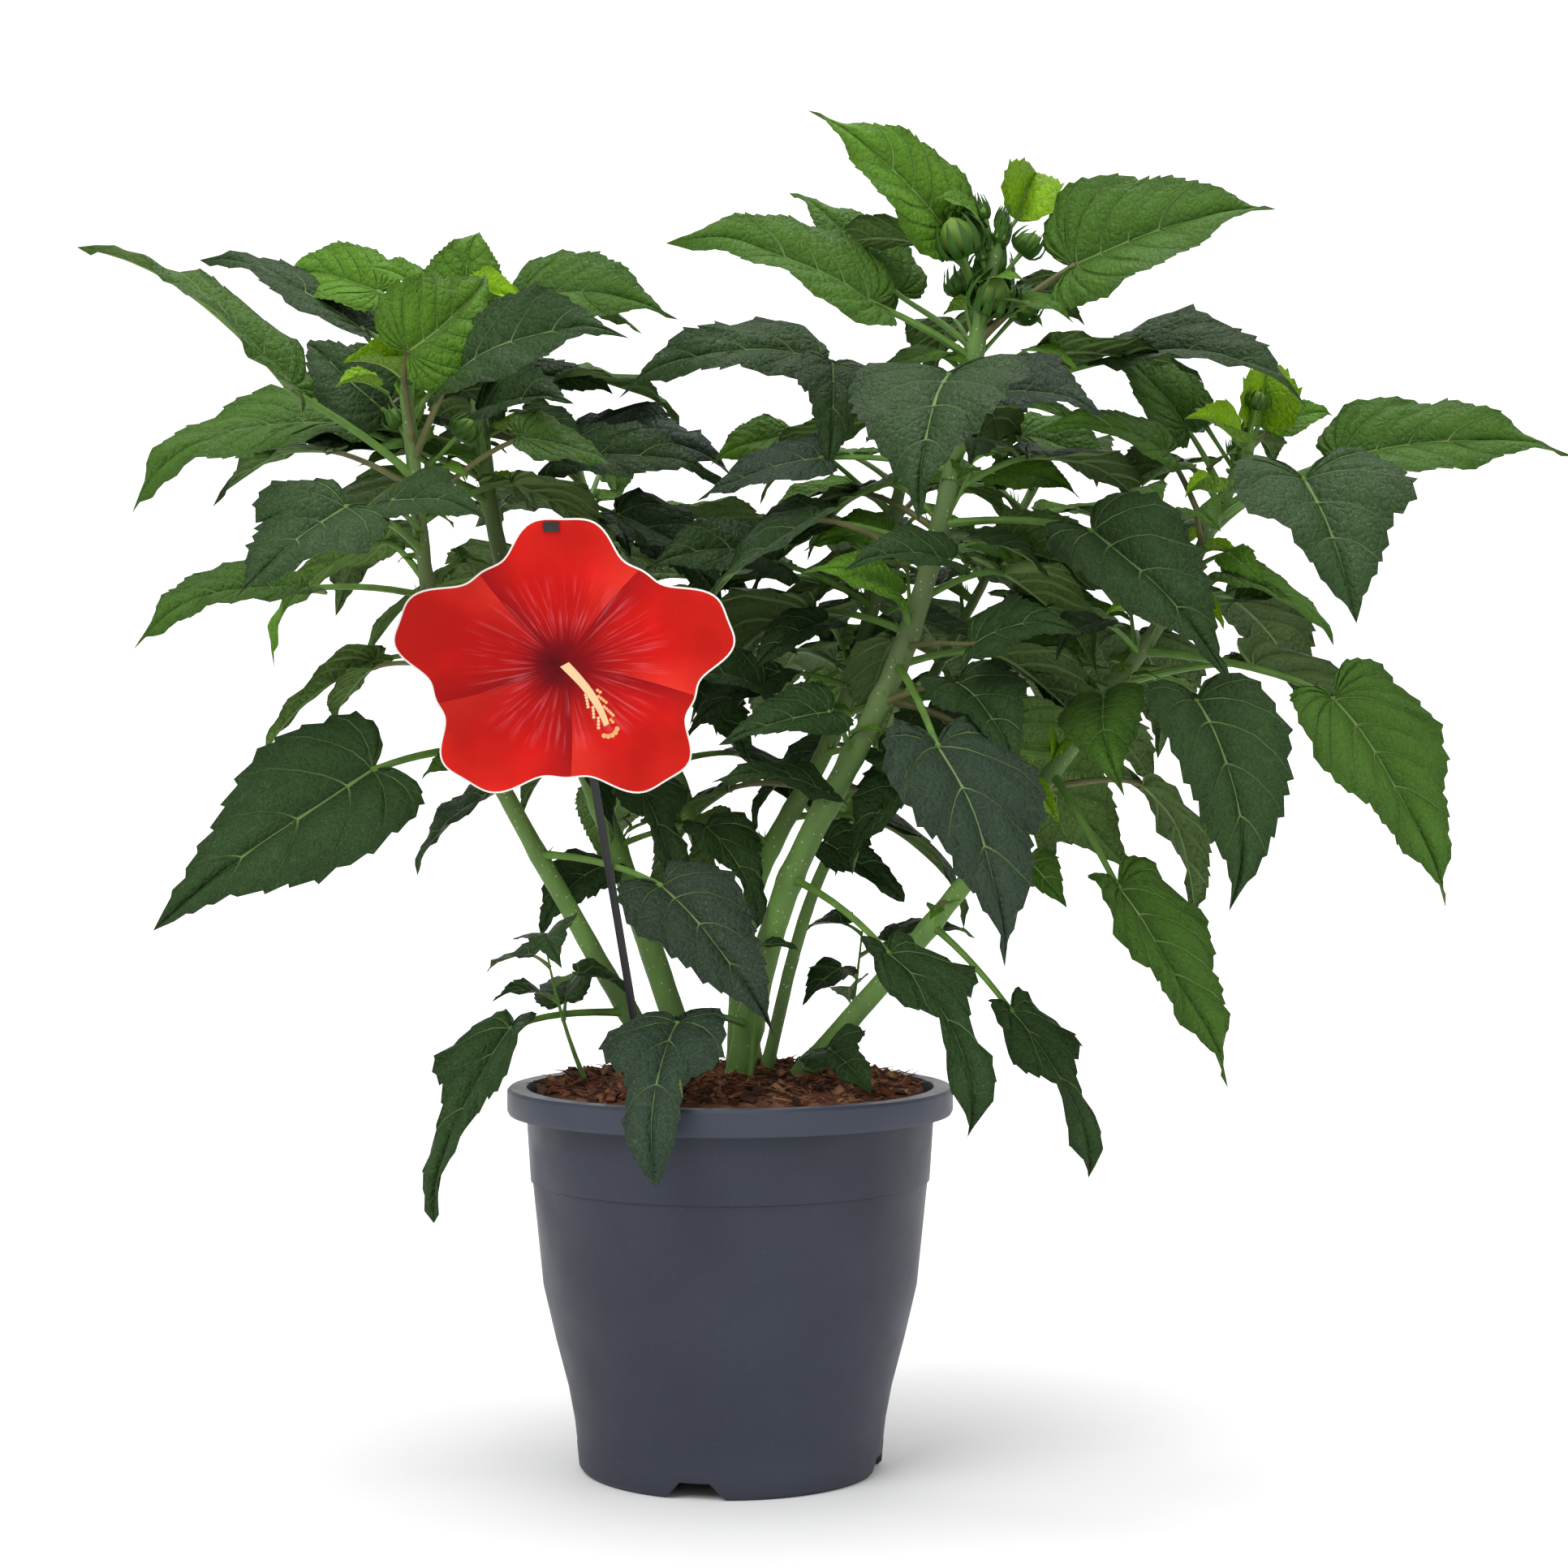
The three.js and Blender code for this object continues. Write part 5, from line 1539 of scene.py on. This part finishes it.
def make_stake(settings):
    """A flat bar with a groove down its front and a hook through the card's slot."""
    deselect()
    bar_length = STAKE["long"] / math.cos(math.radians(STAKE["tilt"]))
    bpy.ops.mesh.primitive_cube_add(size=1, location=(0, 0, 0))
    stake = named("stake_bar")
    edit()
    bpy.ops.mesh.select_all(action="SELECT")
    bpy.ops.transform.resize(value=(STAKE["width"] * MM, STAKE["thick"] * MM, bar_length * MM))
    bpy.ops.transform.translate(value=(0, 0, 0.5 * bar_length * MM))
    select_faces(stake, lambda face: abs(face.normal.y) > 0.9)
    bpy.ops.mesh.inset(thickness=1.1 * MM, use_individual=True)
    bpy.ops.transform.resize(value=(1, 0.45, 1))
    bpy.ops.mesh.select_mode(type="VERT")
    leave()
    stake.rotation_euler.y = -math.radians(STAKE["tilt"])
    settle(stake)
    depth = STAKE["thick"] / 2 + GAP + CARD["thick"] + 1.2
    deselect()
    place = (stake_at(SLOT_RISE) * MM, -0.5 * depth * MM, SLOT_RISE * MM)
    bpy.ops.mesh.primitive_cube_add(size=1, location=place)
    hook = named("stake_hook")
    hook.scale = (STAKE["width"] * MM, depth * MM, (SLOT[1] - 1.2) * MM)
    settle(hook)
    modify(stake, "BOOLEAN", object=hook, operation="UNION", solver="EXACT")
    bpy.data.objects.remove(hook)
    deselect()
    place = (stake_at(SLOT_RISE) * MM, -(depth - 0.5) * MM, SLOT_RISE * MM)
    bpy.ops.mesh.primitive_cube_add(size=1, location=place)
    head = named("stake_head")
    head.scale = ((SLOT[0] + 1) * MM, 1 * MM, (SLOT[1] + 1) * MM)
    settle(head)
    modify(stake, "BOOLEAN", object=head, operation="UNION", solver="EXACT")
    bpy.data.objects.remove(head)
    modify(stake, "BEVEL", width=0.25 * MM, segments=2, limit_method="ANGLE", angle_limit=math.radians(40))
    smooth(stake)
    seat_label(stake)
    stake.data.materials.append(plain_plastic("stake_black", settings.black, 0.4))
    return stake


def make_stem(name, settings):
    """A stem swept along its route, swollen at each leaf joint, with an uneven skin."""
    route_points, (foot_radius, tip_radius), _ = STEMS[name]
    route = Route(spline(route_points))
    steps = int(route.length * MM / settings.spacing)
    shares = np.linspace(0, 1, steps + 1)
    radii = mix(foot_radius, tip_radius, shares) + 1.4 * np.exp(-(shares * route.length / 16) ** 2)
    for row in LEAVES[name]:
        distance = (shares - row[0]) * route.length
        radii = radii + 0.13 * radii * np.exp(-(distance / 5) ** 2)
    taper = np.clip((1 - shares) * route.length / 5, 0.45, 1)
    deselect()
    bpy.ops.curve.primitive_nurbs_path_add()
    stem = named("branch_" + name)
    curve = stem.data
    curve.splines.clear()
    line = curve.splines.new("POLY")
    line.points.add(steps)
    for point, place, radius in zip(line.points, route.points(shares) * MM, radii * taper):
        point.co = (*place, 1)
        point.radius = radius
    curve.bevel_depth = MM
    curve.bevel_resolution = 5
    curve.use_fill_caps = True
    only(stem)
    bpy.ops.object.convert(target="MESH")
    stem = bpy.context.object
    edit()
    bpy.ops.mesh.select_all(action="SELECT")
    bpy.ops.mesh.remove_doubles(threshold=1e-6)
    bpy.ops.mesh.normals_make_consistent(inside=False)
    leave()
    texture = bpy.data.textures.new("bark_" + name, "CLOUDS")
    texture.noise_scale = 0.012
    modify(stem, "DISPLACE", texture=texture, strength=settings.relief, mid_level=0.5, texture_coords="LOCAL")
    smooth(stem, math.radians(50))
    return stem


# ---------- operators ----------

def finish_piece(piece, slot, *nodes):
    """Rides a finished piece on the part's body, in place of its solids; its slot is not used."""
    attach(piece, "root")
    if nodes:
        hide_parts(*nodes)


class PieceOperator(Operator):
    """What all the operators share."""
    bl_options = {"REGISTER", "UNDO"}


class HIBISCUS_OT_stage(PieceOperator):
    """Sets up the camera, the pale floor and the soft lights"""
    bl_idname = "hibiscus.stage"
    bl_label = "Stage"

    def execute(self, context):
        settings = context.scene.hibiscus_stage
        deselect()
        bpy.ops.object.camera_add(location=settings.camera, rotation=(math.radians(90), 0, 0))
        camera = named("camera")
        camera.data.lens = settings.lens
        context.scene.camera = camera
        self.make_floor(settings)
        lamps = (
            ("key", (-1.5, -2.0, 2.6), (0, 0, 0.35), 2.0, 64),
            ("fill", (2.4, -1.6, 1.5), (0, 0, 0.35), 2.4, 22),
            ("top", (0.2, 0.4, 3.0), (0, 0, 0.35), 2.2, 56),
            ("backdrop", (0, 2.6, 3.4), (0, 6, 1.0), 2.6, 150),
        )
        for name, place, target, size, power in lamps:
            aim = (Vector(target) - Vector(place)).to_track_quat("-Z", "Y").to_euler()
            bpy.ops.object.light_add(type="AREA", location=place, rotation=aim)
            lamp = named("lamp_" + name)
            lamp.data.size = size
            lamp.data.energy = power
        world = bpy.data.worlds.new("daylight")
        world.use_nodes = True
        background = world.node_tree.nodes["Background"]
        background.inputs["Color"].default_value = (1, 1, 1, 1)
        background.inputs["Strength"].default_value = 0.6
        context.scene.world = world
        context.scene.view_settings.view_transform = "Standard"
        return {"FINISHED"}

    def make_floor(self, settings):
        """A plane whose far edge is drawn up into a backdrop, with a soft bend between."""
        deselect()
        bpy.ops.mesh.primitive_plane_add(size=12, location=(0, 0, 0))
        floor = named("floor")
        edit()
        select_where(floor, lambda p: p.y > 5)
        bpy.ops.mesh.extrude_region_move(TRANSFORM_OT_translate={"value": (0, 0, 6)})
        select_where(floor, lambda p: p.y > 5 and p.z < 1)
        bpy.ops.mesh.bevel(offset=2.5, segments=16)
        leave()
        smooth(floor)
        recipe = Recipe("floor_pale")
        drift = recipe.noise(1.5, 2)
        tint = recipe.mix(recipe.spread(drift, 0.3, 0.7), shade(settings.floor, 0.985), settings.floor)
        recipe.grain(recipe.noise(120, 2), 0.00005)
        floor.data.materials.append(recipe.finish(tint, recipe.spread(drift, 0, 1, 0.7, 0.8), 0.2))


class HIBISCUS_OT_pot(PieceOperator):
    """Turns the pot and cuts its notches and drain holes"""
    bl_idname = "hibiscus.pot"
    bl_label = "Pot"

    def execute(self, context):
        finish_piece(make_pot(context.scene.hibiscus_pot), "pot", "pot")
        return {"FINISHED"}


class HIBISCUS_OT_soil(PieceOperator):
    """Fills the pot and strews the soil with fibres and chips"""
    bl_idname = "hibiscus.soil"
    bl_label = "Soil"

    def execute(self, context):
        settings = context.scene.hibiscus_pot
        soil = make_soil(settings)
        finish_piece(soil, "soil", "soil")
        finish_piece(make_litter(settings, soil), "soil", "soil")
        return {"FINISHED"}


class HIBISCUS_OT_label(PieceOperator):
    """Makes the flower-shaped card and its stake"""
    bl_idname = "hibiscus.label"
    bl_label = "Label"

    def execute(self, context):
        settings = context.scene.hibiscus_label
        finish_piece(make_card(settings), "card", "label_card")
        finish_piece(make_stamen(settings), "card", "label_card")
        finish_piece(make_stake(settings), "stake", "label_stake")
        return {"FINISHED"}


class HIBISCUS_OT_stems(PieceOperator):
    """Sweeps the seven stems from the soil to their tips"""
    bl_idname = "hibiscus.stems"
    bl_label = "Stems"

    def execute(self, context):
        settings = context.scene.hibiscus_stem
        bark = bark_material(settings)
        for name in STEMS:
            stem = make_stem(name, settings)
            stem.data.materials.append(bark)
            finish_piece(stem, "bark", "stem_" + name)
        return {"FINISHED"}


def leaf_materials(settings):
    """Three materials to each tone: upper side, underside and veins."""
    materials = []
    for tone in TONES:
        colour = getattr(settings, tone)
        under = between(colour, settings.under, 0.4)
        vein = between(colour, settings.vein, 0.5)
        sheen = 0.18 if tone == "deep" else 0.13
        materials.append(blade_material(f"leaf_{tone}_upper", colour, vein, 0.42, 0.0002, sheen))
        materials.append(blade_material(f"leaf_{tone}_under", under, vein, 0.6, 0.0003, 0.12))
        materials.append(vein_material(f"leaf_{tone}_vein", vein))
    return materials


SMALL_LEAF = 40
OLD_LEAF = 0.4
LOBED_SHARE = 0.75


def leaf_patterns():
    """Patterns with coarse teeth for mature leaves, with fine ones for young leaves, and for small leaves."""
    columns = (0, 0.018, 0.12, 0.3, 0.52, 0.76, 1)
    coarse = [Pattern(OVATE, 13, (0, 2, 4, 6, 8, 10), columns, seed, 0.027, 0.024, 0.5, 0.004) for seed in (61, 62)]
    coarse += [Pattern(SHOULDERED, 14, (0, 2, 5, 8, 10), columns, seed, 0.027, 0.024, 0.5, 0.004) for seed in (64, 65)]
    lobed = [Pattern(LOBED, 13, (0, 2, 4, 7, 9), columns, seed, 0.024, 0.024, 0.5, 0.004) for seed in (69, 70)]
    fine = [Pattern(OVATE, 20, (0, 2, 4, 6, 8, 10, 12, 14), columns, seed, 0.016, 0.027, 0.5) for seed in (67, 68)]
    small = [Pattern(OVATE, 8, (1, 3, 5), (0, 0.04, 0.5, 1), 66, 0.035, 0.014, 0.3, 0.007)]
    return coarse, lobed, fine, small


def dress(batch, leaves, patterns, settings, seed):
    """Bends a pattern into each leaf's place."""
    draw = seeded(seed)
    coarse, lobed, fine, small = patterns
    for leaf in leaves:
        choice = coarse if leaf.tone in (DEEP, DARK) else fine
        if leaf.old and draw() < LOBED_SHARE:
            choice = lobed
        if leaf.length < SMALL_LEAF:
            choice = small
        leaf_shape(batch, leaf, choice[int(len(choice) * draw())], settings, draw)


class HIBISCUS_OT_leaves(PieceOperator):
    """Grows the leaves of every stem and shoot"""
    bl_idname = "hibiscus.leaves"
    bl_label = "Leaves"

    def execute(self, context):
        settings = context.scene.hibiscus_leaf
        materials = leaf_materials(settings)
        patterns = leaf_patterns()
        for number, name in enumerate(STEMS):
            growth = Growth(name, settings)
            batch = Batch()
            dress(batch, growth.leaves, patterns, settings, 300 + number)
            finish_piece(batch.build("leaves_" + name, materials), "leaf", *growth.nodes)
        for number, name in enumerate(SHOOTS):
            batch = Batch()
            dress(batch, grow_shoot(name, settings)[1], patterns, settings, 320 + number)
            finish_piece(batch.build("leaves_" + name, materials), "leaf", name)
        return {"FINISHED"}


class HIBISCUS_OT_stalks(PieceOperator):
    """Grows the leaf stalks, the twigs and the bud stalks"""
    bl_idname = "hibiscus.stalks"
    bl_label = "Stalks and twigs"

    def execute(self, context):
        settings, leaf_settings = context.scene.hibiscus_stem, context.scene.hibiscus_leaf
        materials = [stalk_material("stalk_green", settings.stalk), stalk_material("stalk_red", settings.red_stalk)]
        for number, name in enumerate(STEMS):
            growth = Growth(name, leaf_settings)
            batch, draw = Batch(), seeded(400 + number)
            for leaf in growth.leaves:
                stalk_shape(batch, leaf, draw)
                if leaf.thin == 1:
                    stipule_shape(batch, leaf, draw)
            for twig, radius in growth.twigs:
                tube(batch, twig.points(np.linspace(0, 1, 5)), mix(radius, 0.6 * radius, np.linspace(0, 1, 5)), 6, 0)
            for bud in growth.buds:
                stalk = bud.placed(np.array([(0, bud.stalk * w, 0) for w in (0, 0.25, 0.6, 0.9, 1.02)]))
                tube(batch, stalk, (1.5, 1.25, 1.15, 1.4, 1.6), 8, 0)
            finish_piece(batch.build("stalks_" + name, materials), "bark", "crown_" + name)
        for number, name in enumerate(SHOOTS):
            twig, leaves = grow_shoot(name, leaf_settings)
            batch, draw = Batch(), seeded(420 + number)
            tube(batch, twig.points(np.linspace(0, 1, 9)), mix(SHOOT_RADIUS, 0.5, np.linspace(0, 1, 9)), 8, 0)
            for leaf in leaves:
                stalk_shape(batch, leaf, draw)
            finish_piece(batch.build("stalks_" + name, materials), "bark", name)
        return {"FINISHED"}


class HIBISCUS_OT_buds(PieceOperator):
    """Grows the flower buds"""
    bl_idname = "hibiscus.buds"
    bl_label = "Buds"

    def execute(self, context):
        settings = context.scene.hibiscus_bud
        materials = [
            stalk_material("bud_calyx", settings.body),
            stalk_material("bud_bract", settings.bract),
            stalk_material("bud_flush", settings.flush),
        ]
        for number, name in enumerate(BUDS):
            growth = Growth(name, context.scene.hibiscus_leaf)
            batch, draw = Batch(), seeded(500 + number)
            for bud in growth.buds:
                bud_shape(batch, bud, settings.bracts, draw)
            finish_piece(batch.build("buds_" + name, materials), "leaf", "crown_" + name)
        return {"FINISHED"}


class HIBISCUS_PT_panel(Panel):
    """Lists the steps that build the shrub"""
    bl_label = "Potted hibiscus"
    bl_idname = "HIBISCUS_PT_panel"
    bl_space_type = "VIEW_3D"
    bl_region_type = "UI"
    bl_category = "Hibiscus"

    def draw(self, context):
        for step in STEPS:
            self.layout.operator(step.bl_idname)


STEPS = (
    HIBISCUS_OT_stage,
    HIBISCUS_OT_pot,
    HIBISCUS_OT_soil,
    HIBISCUS_OT_label,
    HIBISCUS_OT_stems,
    HIBISCUS_OT_leaves,
    HIBISCUS_OT_stalks,
    HIBISCUS_OT_buds,
)
CLASSES = (*SETTINGS.values(), *STEPS, HIBISCUS_PT_panel)


def register():
    for cls in CLASSES:
        bpy.utils.register_class(cls)
    for name, cls in SETTINGS.items():
        setattr(bpy.types.Scene, name, PointerProperty(type=cls))


def unregister():
    for name in SETTINGS:
        delattr(bpy.types.Scene, name)
    for cls in reversed(CLASSES):
        bpy.utils.unregister_class(cls)


def main():
    register()
    bpy.ops.hibiscus.stage()
    bpy.ops.hibiscus.pot()
    bpy.ops.hibiscus.soil()
    bpy.ops.hibiscus.label()
    bpy.ops.hibiscus.stems()
    bpy.ops.hibiscus.leaves()
    bpy.ops.hibiscus.stalks()
    bpy.ops.hibiscus.buds()


if __name__ == "__main__":
    main()
